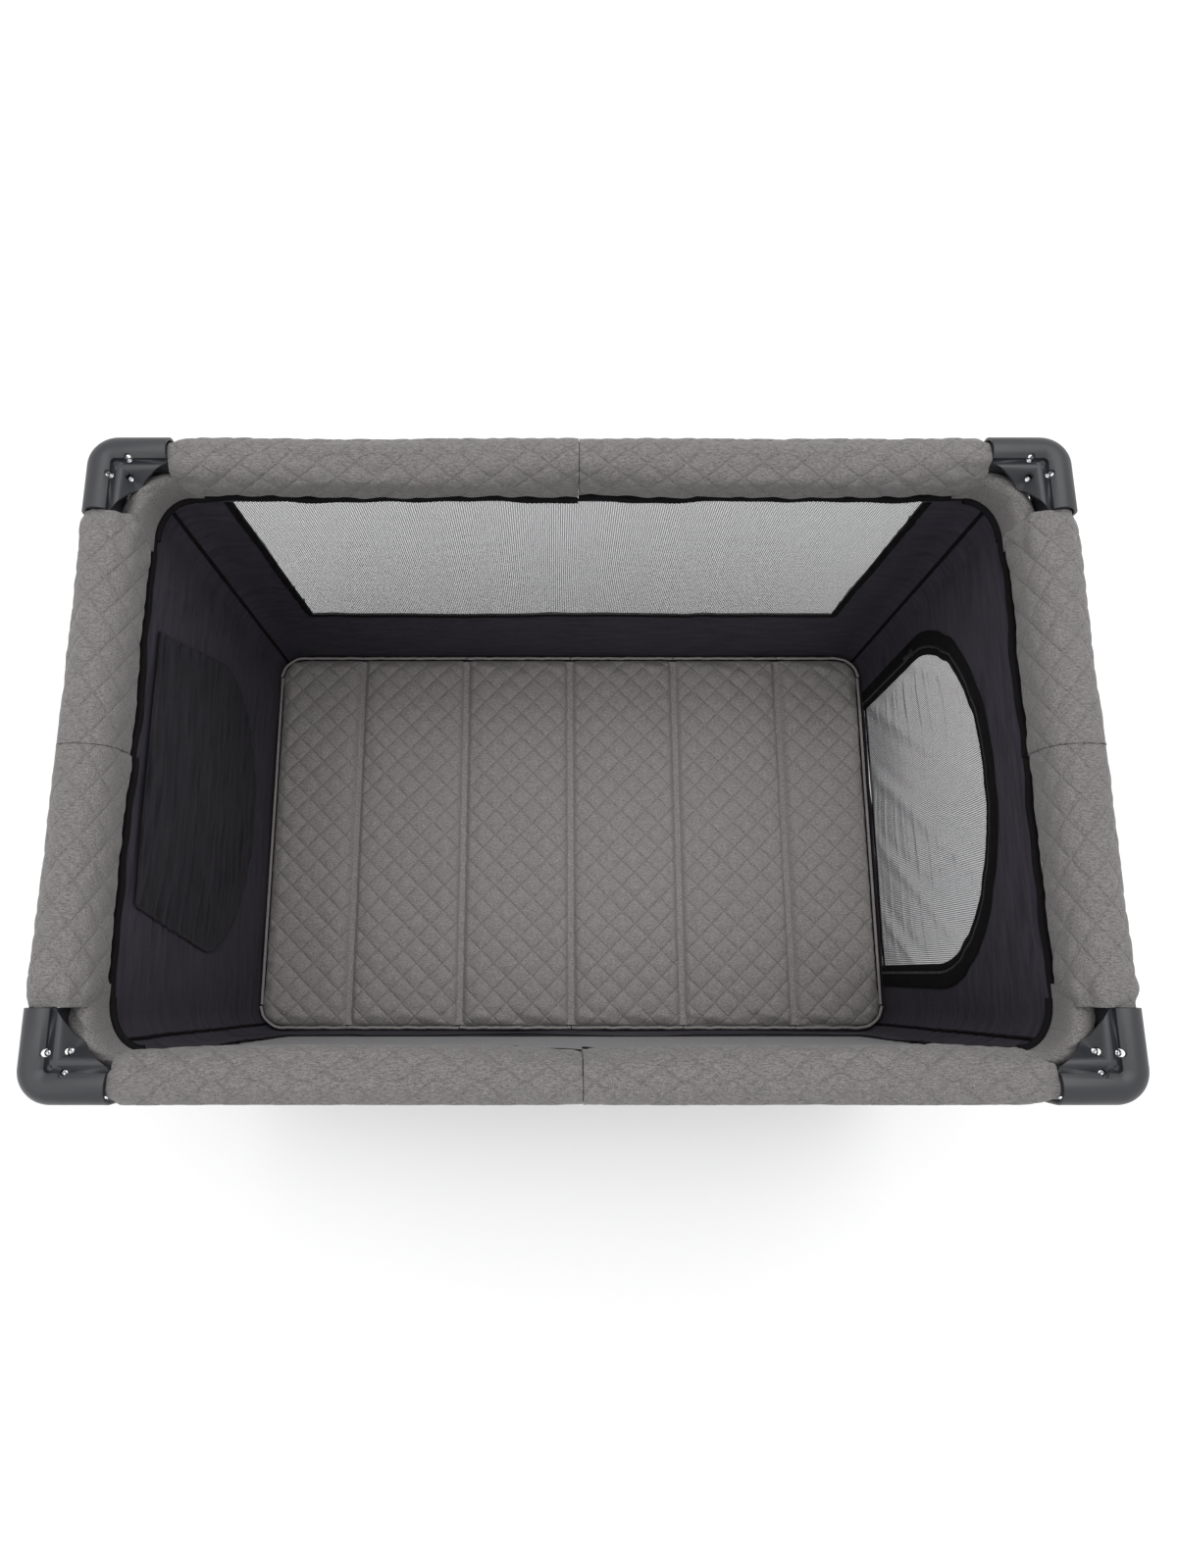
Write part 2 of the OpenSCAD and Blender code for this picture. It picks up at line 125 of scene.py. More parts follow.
RAIL_IN = sum(corner.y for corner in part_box("rail_near_l")) / 2 - CAD_BOX[0][1]
WALL_LOW = 0.038
WALL_HIGH = COVER_LOW - 0.001
MID_HEIGHT = 0.3           # height at which a wall's flat width is taken
MESH_THICK = 0.0004
FLOOR_OVERLAP = 0.0015     # how far the floor cloth goes under the foot of the walls
PAD_END = 0.006            # extra length that is pressed flat at each end of a pad


def wall_half(axis, z):
    """Half the distance between two facing walls at height z; they lean inwards towards the top."""
    foot = HALF[axis] - 0.031
    head = HALF[axis] - PAD_WIDTH[1 - axis] + 0.002
    return foot + (head - foot) * (z - WALL_LOW) / (WALL_HIGH - WALL_LOW)


# ---------- small tools ----------

def hex_colour(text):
    """The linear colour of an sRGB hex value such as 8f918f."""
    parts = [int(text[i:i + 2], 16) / 255 for i in (0, 2, 4)]
    return [p / 12.92 if p <= 0.04045 else ((p + 0.055) / 1.055) ** 2.4 for p in parts] + [1.0]


def deselect():
    """Leaves nothing selected, because an operator acts on all that is selected."""
    if bpy.context.object and bpy.context.object.mode != "OBJECT":
        bpy.ops.object.mode_set(mode="OBJECT")
    bpy.ops.object.select_all(action="DESELECT")


def select_only(piece):
    deselect()
    piece.select_set(True)
    bpy.context.view_layer.objects.active = piece


def edit(piece, *steps):
    """Runs edit-mode steps on everything in a piece."""
    select_only(piece)
    bpy.ops.object.mode_set(mode="EDIT")
    bpy.ops.mesh.select_all(action="SELECT")
    for step in steps:
        step()
    bpy.ops.object.mode_set(mode="OBJECT")


def points_of(piece):
    co = np.zeros(len(piece.data.vertices) * 3)
    piece.data.vertices.foreach_get("co", co)
    return co.reshape(-1, 3)


def put_points(piece, points):
    piece.data.vertices.foreach_set("co", np.asarray(points, float).ravel())
    piece.data.update()


def smooth(piece, angle=45):
    select_only(piece)
    bpy.ops.object.shade_smooth_by_angle(angle=math.radians(angle))


def thicken(piece, thickness, offset=0.0):
    """Gives a sheet its thickness."""
    select_only(piece)
    wall = piece.modifiers.new("thickness", "SOLIDIFY")
    wall.thickness = thickness
    wall.offset = offset
    bpy.ops.object.modifier_apply(modifier=wall.name)


def make_grid(name, across, along, place):
    """A grid of across by along faces, each point put where place(u, v) says; u and v run 0 to 1."""
    deselect()
    bpy.ops.mesh.primitive_grid_add(x_subdivisions=across, y_subdivisions=along, size=2)
    piece = bpy.context.object
    piece.name = name
    flat = points_of(piece)
    u, v = (flat[:, 0] + 1) / 2, (flat[:, 1] + 1) / 2
    put_points(piece, np.column_stack(place(u, v)))
    return piece


def make_tube(name, across, along, place, closed=False):
    """A grid rolled into a tube: u goes round it and v along it. Its ends get faces unless it is a ring."""
    piece = make_grid(name, across, along, place)
    steps = [lambda: bpy.ops.mesh.remove_doubles(threshold=1e-6)]
    if not closed:
        steps.append(lambda: bpy.ops.mesh.fill_holes(sides=0))
    steps.append(lambda: bpy.ops.mesh.normals_make_consistent(inside=False))
    edit(piece, *steps)
    return piece


def sweep(name, path, radius, sides=10, closed=False, flat=1.0, up=(0, 0, 1)):
    """A round or flattened bead along a path of points; flat is its thickness, along up, over its width."""
    path = np.asarray(path, float)
    count = len(path)
    if closed:
        ahead, behind = np.roll(path, -1, 0), np.roll(path, 1, 0)
    else:
        ahead = np.vstack([path[1:], path[-1:] * 2 - path[-2:-1]])
        behind = np.vstack([path[:1] * 2 - path[1:2], path[:-1]])
    way = ahead - behind
    way /= np.linalg.norm(way, axis=1)[:, None]
    up = np.asarray(up, float)
    up = up if up.ndim == 2 else np.tile(up, (count, 1))
    side = np.cross(way, up)
    side /= np.linalg.norm(side, axis=1)[:, None]
    over = np.cross(side, way)
    rows = count if closed else count - 1

    def place(u, v):
        i = np.rint(v * rows).astype(int) % count
        turn = 2 * np.pi * u
        ring = side[i] * np.cos(turn)[:, None] + over[i] * (np.sin(turn) * flat)[:, None]
        return (path[i] + ring * radius).T

    return make_tube(name, sides, rows, place, closed)


def join(name, parts):
    deselect()
    for part in parts:
        part.select_set(True)
    bpy.context.view_layer.objects.active = parts[0]
    if len(parts) > 1:
        bpy.ops.object.join()
    parts[0].name = name
    return parts[0]


def drop_faces(piece, test):
    """Deletes the faces whose middle test(centres) picks."""
    centres = np.array([f.center for f in piece.data.polygons])
    picked = test(centres)
    select_only(piece)
    bpy.ops.object.mode_set(mode="EDIT")
    bpy.ops.mesh.select_all(action="DESELECT")
    bpy.ops.mesh.select_mode(type="FACE")
    bpy.ops.object.mode_set(mode="OBJECT")
    piece.data.polygons.foreach_set("select", picked)
    bpy.ops.object.mode_set(mode="EDIT")
    bpy.ops.mesh.delete(type="FACE")
    bpy.ops.object.mode_set(mode="OBJECT")


def waves(seed, lengths, share):
    """A smooth wavy line made of sines: returns f(x) between about -1 and 1, the same each run."""
    rng = np.random.default_rng(seed)
    terms = [(2 * np.pi / length, rng.uniform(0, 2 * np.pi), weight) for length, weight in zip(lengths, share)]
    return lambda x: sum(w * np.sin(k * x + p) for k, p, w in terms)


def ramp(x, low, high):
    """0 below low, 1 above high, and smooth between."""
    t = np.clip((x - low) / (high - low), 0, 1)
    return t * t * (3 - 2 * t)


RELAX_STEPS = 4
PRESSURE = 4


def inflate(piece, cell, most, hold):
    """Swells a padded piece: an even skin of cloth under pressure, each point moved no further than most times
    hold(points), which is 0 where the cover is sewn down and 1 where it is free."""
    select_only(piece)
    skin = piece.modifiers.new("skin", "REMESH")
    skin.mode = "VOXEL"
    skin.voxel_size = cell
    bpy.ops.object.modifier_apply(modifier=skin.name)
    relax = piece.modifiers.new("relax", "SMOOTH")
    relax.factor = 0.5
    relax.iterations = RELAX_STEPS
    bpy.ops.object.modifier_apply(modifier=relax.name)
    start = points_of(piece)
    cloth = piece.modifiers.new("cloth", "CLOTH")
    cloth.settings.use_pressure = True
    cloth.settings.uniform_pressure_force = PRESSURE
    cloth.settings.effector_weights.gravity = 0
    cloth.point_cache.frame_start = 1
    cloth.point_cache.frame_end = sizes().frames
    for step in range(1, sizes().frames + 1):
        bpy.context.scene.frame_set(step)
    swollen = piece.evaluated_get(bpy.context.evaluated_depsgraph_get())
    moved = np.zeros(len(start) * 3)
    swollen.data.vertices.foreach_get("co", moved)
    piece.modifiers.remove(cloth)
    bpy.context.scene.frame_set(1)
    move = moved.reshape(-1, 3) - start
    far_off = np.linalg.norm(move, axis=1)
    allowed = most * hold(start)
    share = np.minimum(1, allowed / np.maximum(far_off, 1e-9))
    put_points(piece, start + move * share[:, None])
    select_only(piece)
    fine = piece.modifiers.new("fine", "SUBSURF")
    fine.levels = fine.render_levels = 1
    bpy.ops.object.modifier_apply(modifier=fine.name)


def push_out(piece, amount):
    """Moves each point along its normal by amount."""
    normals = np.zeros(len(piece.data.vertices) * 3)
    piece.data.vertices.foreach_get("normal", normals)
    put_points(piece, points_of(piece) + normals.reshape(-1, 3) * np.asarray(amount)[:, None])


def mark_quilt(piece, along, across, strength):
    """Stores where the quilting lines run, for the cloth's material."""
    marks = piece.data.attributes.new("quilt", "FLOAT_VECTOR", "POINT")
    marks.data.foreach_set("vector", np.column_stack([along, across, strength]).astype(float).ravel())


# ---------- materials ----------

def add(tree, kind, inputs=None, **settings):
    """Adds a node, sets its settings, and gives each input a value or joins it to another node's output."""
    node = tree.nodes.new(kind)
    for key, value in settings.items():
        setattr(node, key, value)
    for key, value in (inputs or {}).items():
        if isinstance(value, tuple) and isinstance(value[0], bpy.types.Node):
            tree.links.new(value[0].outputs[value[1]], node.inputs[key])
        else:
            node.inputs[key].default_value = value
    return node


def new_material(name):
    """An empty material: (material, node tree, shader)."""
    material = bpy.data.materials.new(name)
    material.use_nodes = True
    tree = material.node_tree
    tree.nodes.clear()
    shader = add(tree, "ShaderNodeBsdfPrincipled")
    add(tree, "ShaderNodeOutputMaterial", {"Surface": (shader, "BSDF")})
    return material, tree, shader


def two_tone(tree, factor, dark, light, low=0.35, high=0.65):
    """Mixes two hex colours by a 0 to 1 pattern, with low and high as the ends of the change."""
    band = add(tree, "ShaderNodeMapRange", {"Value": factor, "From Min": low, "From Max": high})
    return add(
        tree, "ShaderNodeMix",
        {0: (band, "Result"), 6: hex_colour(dark), 7: hex_colour(light)},
        data_type="RGBA",
    )


def math_node(tree, operation, *values, **settings):
    """A Math node whose inputs are numbers or (node, output) pairs."""
    return add(tree, "ShaderNodeMath", dict(enumerate(values)), operation=operation, **settings), "Value"


def object_axes(tree):
    """The Object coordinates, whole and split: (coordinate node, axes node)."""
    place = add(tree, "ShaderNodeTexCoord")
    return place, add(tree, "ShaderNodeSeparateXYZ", {"Vector": (place, "Object")})


def noise(tree, vector, size_mm, detail, roughness=0.5):
    """Noise with features of about size_mm."""
    inputs = {"Vector": vector, "Scale": 1 / (size_mm * MM), "Detail": detail, "Roughness": roughness}
    return add(tree, "ShaderNodeTexNoise", inputs)


def bump(tree, height, strength, depth_mm, below=None, **settings):
    """Relief of depth_mm from a height pattern, on top of another relief if one is given."""
    inputs = {"Strength": strength, "Distance": depth_mm * MM, "Height": height}
    if below:
        inputs["Normal"] = (below, "Normal")
    return add(tree, "ShaderNodeBump", inputs, **settings)


def shade(tree, shader, colour=None, relief=None, **values):
    """Sets the shader's colour (hex, or a node's output), relief and other inputs."""
    if isinstance(colour, str):
        shader.inputs["Base Color"].default_value = hex_colour(colour)
    elif colour:
        tree.links.new(colour, shader.inputs["Base Color"])
    if relief:
        tree.links.new(relief.outputs["Normal"], shader.inputs["Normal"])
    for name, value in values.items():
        entry = shader.inputs[name.replace("_", " ").title().replace("Ior", "IOR")]
        if isinstance(value, tuple):
            tree.links.new(value[0].outputs[value[1]], entry)
        else:
            entry.default_value = value


def heather_cloth(name, dark, light, stitch, groove_painted_shade, fleck_mm=1.0, slub_mm=3.4, weave_mm=1.1):
    """Melange polyester cloth quilted in diamonds: light and dark fibres in a plain weave, matt, with a stitched
    line where the attribute quilt (along, across, strength) puts one. The stitched line is darkened by painted
    groove shade."""
    material, tree, shader = new_material(name)
    place = add(tree, "ShaderNodeTexCoord")
    fleck = noise(tree, (place, "Object"), fleck_mm, 2.0, 0.7)
    drawn = add(tree, "ShaderNodeMapping", {"Vector": (place, "Object"), "Scale": (0.22, 1.0, 1.0)})
    slub = noise(tree, (drawn, "Vector"), slub_mm * 0.35, 2.0, 0.6)
    both = math_node(tree, "MULTIPLY_ADD", (fleck, "Fac"), 0.6, math_node(tree, "MULTIPLY", (slub, "Fac"), 0.4))
    tone = two_tone(tree, both, dark, light, 0.36, 0.64)

    quilt_at = add(tree, "ShaderNodeAttribute", attribute_name="quilt")
    axes = add(tree, "ShaderNodeSeparateXYZ", {"Vector": (quilt_at, "Vector")})
    turn = math.pi / (stitch * math.sqrt(2))
    diagonals = []
    for operation in ("ADD", "SUBTRACT"):
        way = math_node(tree, operation, (axes, "X"), (axes, "Y"))
        wave = math_node(tree, "SINE", math_node(tree, "MULTIPLY", way, turn))
        diagonals.append(math_node(tree, "ABSOLUTE", wave))
    line = add(
        tree, "ShaderNodeMapRange",
        {"Value": math_node(tree, "MINIMUM", *diagonals),
         "From Min": 0.03, "From Max": 0.20, "To Min": 1.0, "To Max": 0.0},
        interpolation_type="SMOOTHSTEP",
    )
    sewn = math_node(tree, "MULTIPLY", (line, "Result"), (axes, "Z"))
    # Along the stitched lines the colour is darkened towards the dark fibres: painted shade of the quilting
    # grooves.
    colour = add(
        tree, "ShaderNodeMix",
        {0: math_node(tree, "MULTIPLY", sewn, groove_painted_shade), 6: (tone, 2), 7: hex_colour(dark)},
        data_type="RGBA", blend_type="MULTIPLY",
    )
    groove = bump(tree, sewn, 0.6, 1.5, invert=True)
    weave = add(
        tree, "ShaderNodeTexVoronoi", {"Vector": (place, "Object"), "Scale": 1 / (weave_mm * MM)}, feature="F1",
    )
    relief = bump(tree, (weave, "Distance"), 0.45, 0.35, groove)
    soft = bump(tree, (slub, "Fac"), 0.5, 0.6, relief)
    shade(tree, shader, colour.outputs[2], soft,
          roughness=0.92, specular_ior_level=0.25, sheen_weight=0.18, sheen_roughness=0.5)
    return material


def ripstop_cloth(name, dark, light, cell_mm=5.0, crease_shade_mm=9):
    """Ripstop polyester: a tight dark weave with a thicker thread every few millimetres, faintly glossy, with
    level streaks of painted crease shade and light in its colour."""
    material, tree, shader = new_material(name)
    place, axes = object_axes(tree)
    threads = []
    for source in (math_node(tree, "ADD", (axes, "X"), (axes, "Y")), (axes, "Z")):
        wave = math_node(tree, "COSINE", math_node(tree, "MULTIPLY", source, 2 * math.pi / (cell_mm * MM)))
        thread = add(tree, "ShaderNodeMapRange", {"Value": wave, "From Min": 0.82, "From Max": 1.0})
        threads.append((thread, "Result"))
    level = add(tree, "ShaderNodeMapping", {"Vector": (place, "Object"), "Scale": (0.14, 0.14, 1.0)})
    # The stretched noise paints level streaks of crease shade and light into the cloth's colour.
    painted_crease_shade = noise(tree, (level, "Vector"), crease_shade_mm, 3.0, 0.55)
    tone = two_tone(tree, (painted_crease_shade, "Fac"), dark, light, 0.32, 0.68)
    relief = bump(tree, math_node(tree, "MAXIMUM", *threads), 0.25, 0.3)
    shade(tree, shader, tone.outputs[2], relief, roughness=0.7, specular_ior_level=0.22, sheen_weight=0.03)
    return material


def window_mesh(name, thread, pitch_mm=3.2, hole=-0.62, across="X"):
    """Knitted polyester mesh: round holes on a staggered net, with matt threads between them. The threads have
    depth, so the holes close when the mesh is seen from a low angle."""
    material, tree, shader = new_material(name)
    place, axes = object_axes(tree)
    net = None
    step = 4 * math.pi / (math.sqrt(3) * pitch_mm * MM)
    for angle in (0, 120, 240):
        level = math_node(tree, "MULTIPLY", (axes, across), step * math.cos(math.radians(angle)))
        slanted = math_node(tree, "MULTIPLY_ADD", (axes, "Z"), step * math.sin(math.radians(angle)), level)
        wave = math_node(tree, "COSINE", slanted)
        net = math_node(tree, "ADD", net, wave) if net else wave
    slant = add(tree, "ShaderNodeLayerWeight", {"Blend": 0.5})
    closed = add(
        tree, "ShaderNodeMapRange",
        {"Value": (slant, "Facing"), "From Min": 0.70, "From Max": 0.96, "To Min": hole, "To Max": 2.8},
    )
    solid = math_node(tree, "LESS_THAN", net, (closed, "Result"))
    shade(tree, shader, thread, roughness=0.8, sheen_weight=0.2, alpha=solid)
    return material


def moulded_plastic(name, colour, roughness=0.38, grain_mm=0.9, wear_mm=40):
    """Injection-moulded polypropylene with a fine spark-eroded grain: semi-gloss, with soft broad highlights."""
    material, tree, shader = new_material(name)
    place = add(tree, "ShaderNodeTexCoord")
    relief = bump(tree, (noise(tree, (place, "Object"), grain_mm, 2.0), "Fac"), 0.12, 0.15)
    gloss = add(
        tree, "ShaderNodeMapRange",
        {"Value": (noise(tree, (place, "Object"), wear_mm, 3.0), "Fac"), "From Min": 0.3, "From Max": 0.7,
         "To Min": roughness - 0.05, "To Max": roughness + 0.07},
    )
    shade(tree, shader, colour, relief, roughness=(gloss, "Result"), specular_ior_level=0.5)
    return material


def powder_coat(name, colour, peel_mm=2.5):
    """Powder-coated steel tube: satin, with a slight orange-peel surface."""
    material, tree, shader = new_material(name)
    place = add(tree, "ShaderNodeTexCoord")
    relief = bump(tree, (noise(tree, (place, "Object"), peel_mm, 1.0), "Fac"), 0.2, 0.1)
    shade(tree, shader, colour, relief, roughness=0.42, coat_weight=0.15)
    return material


def zinc_plate(name, colour, scratch_mm=0.6):
    """Bright zinc-plated steel: a metal with fine turned scratches."""
    material, tree, shader = new_material(name)
    place = add(tree, "ShaderNodeTexCoord")
    scratch = noise(tree, (place, "Object"), scratch_mm, 2.0)
    gloss = add(tree, "ShaderNodeMapRange", {"Value": (scratch, "Fac"), "To Min": 0.22, "To Max": 0.4})
    shade(tree, shader, colour, roughness=(gloss, "Result"), metallic=1.0)
    return material


def ribbed_tape(name, colour, rib_mm=1.5):
    """Woven polyester binding tape: black, matt, ribbed across its width."""
    material, tree, shader = new_material(name)
    place, axes = object_axes(tree)
    way = math_node(tree, "ADD", math_node(tree, "ADD", (axes, "X"), (axes, "Y")), (axes, "Z"))
    rib = math_node(tree, "SINE", math_node(tree, "MULTIPLY", way, 2 * math.pi / (rib_mm * MM)))
    shade(tree, shader, colour, bump(tree, rib, 0.4, 0.25), roughness=0.75, specular_ior_level=0.15)
    return material


def studio_paper(name, colour):
    """Seamless white paper for the floor: matt and even."""
    material, tree, shader = new_material(name)
    shade(tree, shader, colour, roughness=0.9, specular_ior_level=0.1)
    return material


MATERIALS = {}


def material(key):
    """The finish of that name, made once."""
    if key not in MATERIALS:
        c = bpy.context.scene.playpen_colours
        MATERIALS[key] = {
            "pad": lambda: heather_cloth("heather_cloth_pad", c.pad_dark, c.pad_light, sizes().stitch, 0.07),
            "quilt": lambda: heather_cloth("heather_cloth_quilt", c.quilt_dark, c.quilt_light,
                                           sizes().stitch, 0.16),
            "wall": lambda: ripstop_cloth("ripstop_polyester", c.wall_dark, c.wall_painted_light),
            # The pocket's colour is painted shade of its doubled cloth.
            "pocket": lambda: ripstop_cloth("ripstop_polyester_pocket_painted_shade", c.pocket_painted_shade, c.wall_dark),
            "mesh": lambda: window_mesh("knitted_mesh_long", c.mesh_thread),
            "door": lambda: window_mesh("knitted_mesh_door", c.mesh_thread, across="Y"),
            "plastic": lambda: moulded_plastic("moulded_polypropylene", c.plastic),
            "button": lambda: moulded_plastic("moulded_nylon_black", c.button, 0.3),
            "tube": lambda: powder_coat("powder_coated_steel", c.tube),
            "zinc": lambda: zinc_plate("zinc_plated_steel", c.zinc),
            "tape": lambda: ribbed_tape("woven_binding_tape", c.tape),
            "paper": lambda: studio_paper("studio_paper", c.floor),
        }[key]()
    return MATERIALS[key]


def finish(piece, key, body, slot, *nodes):
    """Gives a piece its material and its body, and hides the CAD nodes it stands for. The slot is not used."""
    piece.data.materials.clear()
    piece.data.materials.append(material(key))
    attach(piece, body)
    if nodes:
        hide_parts(*nodes)
    return piece


def fold_with_wall(piece):
    """Gives a piece of wall cloth its own copy of its mesh."""
    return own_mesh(piece)


WALL_BODY = {"near": "post_nl", "far": "post_fl", "left": "post_nl", "right": "post_nr"}


def on_wall(piece, side, key, slot, *nodes, angle=50, body=None):
    """Shades and finishes a piece of a wall, and gives it its own copy of its mesh."""
    smooth(piece, angle)
    finish(piece, key, body or WALL_BODY[side], slot, *nodes)
    return fold_with_wall(piece)


def foot_binding(name, shape):
    """Tape along the lower edge of a wall."""
    reach = wall_reach(shape.side, WALL_LOW) - 0.01
    line = line_between([(-reach, WALL_LOW + 0.006), (reach, WALL_LOW + 0.006)])
    return strip_on(name, shape, line, 0.012, 0.0026, 0)


# ---------- settings ----------

class PlaypenSizes(bpy.types.PropertyGroup):
    """Sizes that a user would change."""
    stitch: FloatProperty(name="Quilt cell", description="Side of a quilting diamond", default=0.031,
                          unit="LENGTH")
    puff: FloatProperty(name="Quilt puff", description="Rise of a quilting diamond", default=0.0032, unit="LENGTH")
    pleat: FloatProperty(name="Wall pleats", description="Depth of the creases in the walls", default=0.0022,
                         unit="LENGTH")
    cloth: FloatProperty(name="Cloth", description="Thickness of the wall cloth", default=0.0012, unit="LENGTH")
    swell: FloatProperty(name="Pad swell", description="How far a rail pad may swell", default=0.006,
                         unit="LENGTH")
    frames: IntProperty(name="Cloth steps", description="Steps of the padding simulation", default=18)


class PlaypenColours(bpy.types.PropertyGroup):
    """Colours as sRGB hex values."""
    pad_dark: StringProperty(name="Pad dark", description="Dark fibres of the rail pads", default="484746")
    pad_light: StringProperty(name="Pad light", description="Light fibres of the rail pads", default="827f7e")
    quilt_dark: StringProperty(name="Quilt dark", description="Dark fibres of the mattress", default="6c6967")
    quilt_light: StringProperty(name="Quilt light", description="Light fibres of the mattress", default="b2aeac")
    wall_dark: StringProperty(name="Wall dark", description="Wall cloth in its shade", default="29262f")
    # The lighter wall colour is painted light on the crests of the wall's creases.
    wall_painted_light: StringProperty(name="Wall light", description="Wall cloth where it is worn", default="393540")
    # The pocket is real cloth, and its near-black colour is painted shade: its doubled layer lets less light
    # through than the wall.
    pocket_painted_shade: StringProperty(name="Pocket", description="Pocket cloth", default="09080b")
    mesh_thread: StringProperty(name="Mesh", description="Threads of the mesh", default="55565a")
    plastic: StringProperty(name="Plastic", description="Caps, feet, locks and hub", default="27282c")
    button: StringProperty(name="Buttons", description="Release buttons and zip slider", default="1d1d20")
    tube: StringProperty(name="Tubes", description="Posts, rails and base tubes", default="4a4b4f")
    zinc: StringProperty(name="Screws", description="Screws and pins", default="c9cbcd")
    tape: StringProperty(name="Tape", description="Binding tape", default="0a090c")
    floor: StringProperty(name="Floor", description="Studio floor", default="f4f4f4")


def sizes():
    return bpy.context.scene.playpen_sizes


# ---------- walls ----------

WALL_TURN = 0.040      # radius of the wall cloth round the corners


def wall_path(side, s, z, out=0.0):
    """A point of a wall: s along it from its middle, z up, out from the cabin. The ends turn half a corner."""
    axis = 0 if side in LONG_SIDES else 1
    a, b = wall_half(axis, z), wall_half(1 - axis, z)
    straight = a - WALL_TURN
    over = np.clip(np.abs(s) - straight, 0, None) / WALL_TURN
    radius = WALL_TURN + out
    along = np.sign(s) * (np.minimum(np.abs(s), straight) + radius * np.sin(over))
    away = b - WALL_TURN + radius * np.cos(over)
    if side == "near":
        return along, -away, z
    if side == "far":
        return along, away, z
    if side == "left":
        return -away, along, z
    return away, along, z


def wall_reach(side, z):
    """Half the length of a wall's cloth at height z, with its half corners."""
    axis = 0 if side in LONG_SIDES else 1
    return wall_half(axis, z) - WALL_TURN + WALL_TURN * math.pi / 4


def creases(seed, s, z, depth):
    """Creases of cloth stretched between two posts: mostly level, uneven, and weaker at the ends."""
    rng = np.random.default_rng(seed)
    drift = waves(seed + 1, (0.35, 0.17), (0.6, 0.4))(s) * 0.012
    fine = waves(seed + 2, (0.031, 0.019, 0.014, 0.053), (0.45, 0.35, 0.2, 0.4))(z + drift)
    patch = 0.5 + 0.5 * waves(seed + 3, (0.21, 0.33), (0.6, 0.5))(s + rng.uniform(0, 1) + 0.4 * z)
    level = waves(seed + 4, (0.31, 0.17), (0.6, 0.4))(z + 0.6 * s)
    return depth * (fine * np.clip(patch, 0.1, 1) + 0.5 * level)


class WallShape:
    """Where the cloth of one wall lies: its plane, its creases and its belly."""

    def __init__(self, side, seed, depth=None, out=0.0, still=None):
        self.side, self.seed, self.out, self.still = side, seed, out, still
        self.depth = sizes().pleat if depth is None else depth

    def __call__(self, s, z, out=0.0):
        low, high = WALL_LOW, WALL_HIGH
        held = ramp(z, low, low + 0.05) * (1 - ramp(z, high - 0.03, high))
        reach = wall_reach(self.side, MID_HEIGHT)
        ends = 1 - 0.5 * ramp(np.abs(s), reach - 0.03, reach)
        push = creases(self.seed, s, z, self.depth) * (0.35 + 0.65 * held) * ends
        if self.still:
            push = push * self.still(s, z)
        return wall_path(self.side, s, z, self.out + out + push)


def wall_grid(name, shape, cell=0.0055):
    side = shape.side
    reach = wall_reach(side, WALL_LOW)
    across, along = int(2 * reach / cell), int((WALL_HIGH - WALL_LOW) / cell)

    def place(u, v):
        z = WALL_LOW + (WALL_HIGH - WALL_LOW) * v
        s = (2 * u - 1) * np.array([wall_reach(side, height) for height in z])
        return shape(s, z)

    return make_grid(name, across, along, place)


def strip_on(name, shape, line, width, thickness, lift, sides=8):
    """A flat tape that follows a line of (s, z) points on a wall, on its inner or outer face."""
    line = np.asarray(line, float)
    path = np.column_stack(shape(line[:, 0], line[:, 1], lift))
    step = np.column_stack(shape(line[:, 0], line[:, 1], lift + 0.01))
    up = step - path
    up /= np.linalg.norm(up, axis=1)[:, None]
    return sweep(name, path, width / 2, sides, False, thickness / width, up)


def line_between(points, step=0.008):
    """Points every step along a polyline."""
    out = []
    for (x0, y0), (x1, y1) in zip(points[:-1], points[1:]):
        count = max(2, int(math.hypot(x1 - x0, y1 - y0) / step))
        for i in range(count):
            out.append((x0 + (x1 - x0) * i / count, y0 + (y1 - y0) * i / count))
    out.append(tuple(points[-1]))
    return out


def window_edges():
    """Half width, lower and upper edge of a mesh window."""
    return MESH_BOX[1].x, MESH_BOX[0].z, WALL_HIGH - 0.007


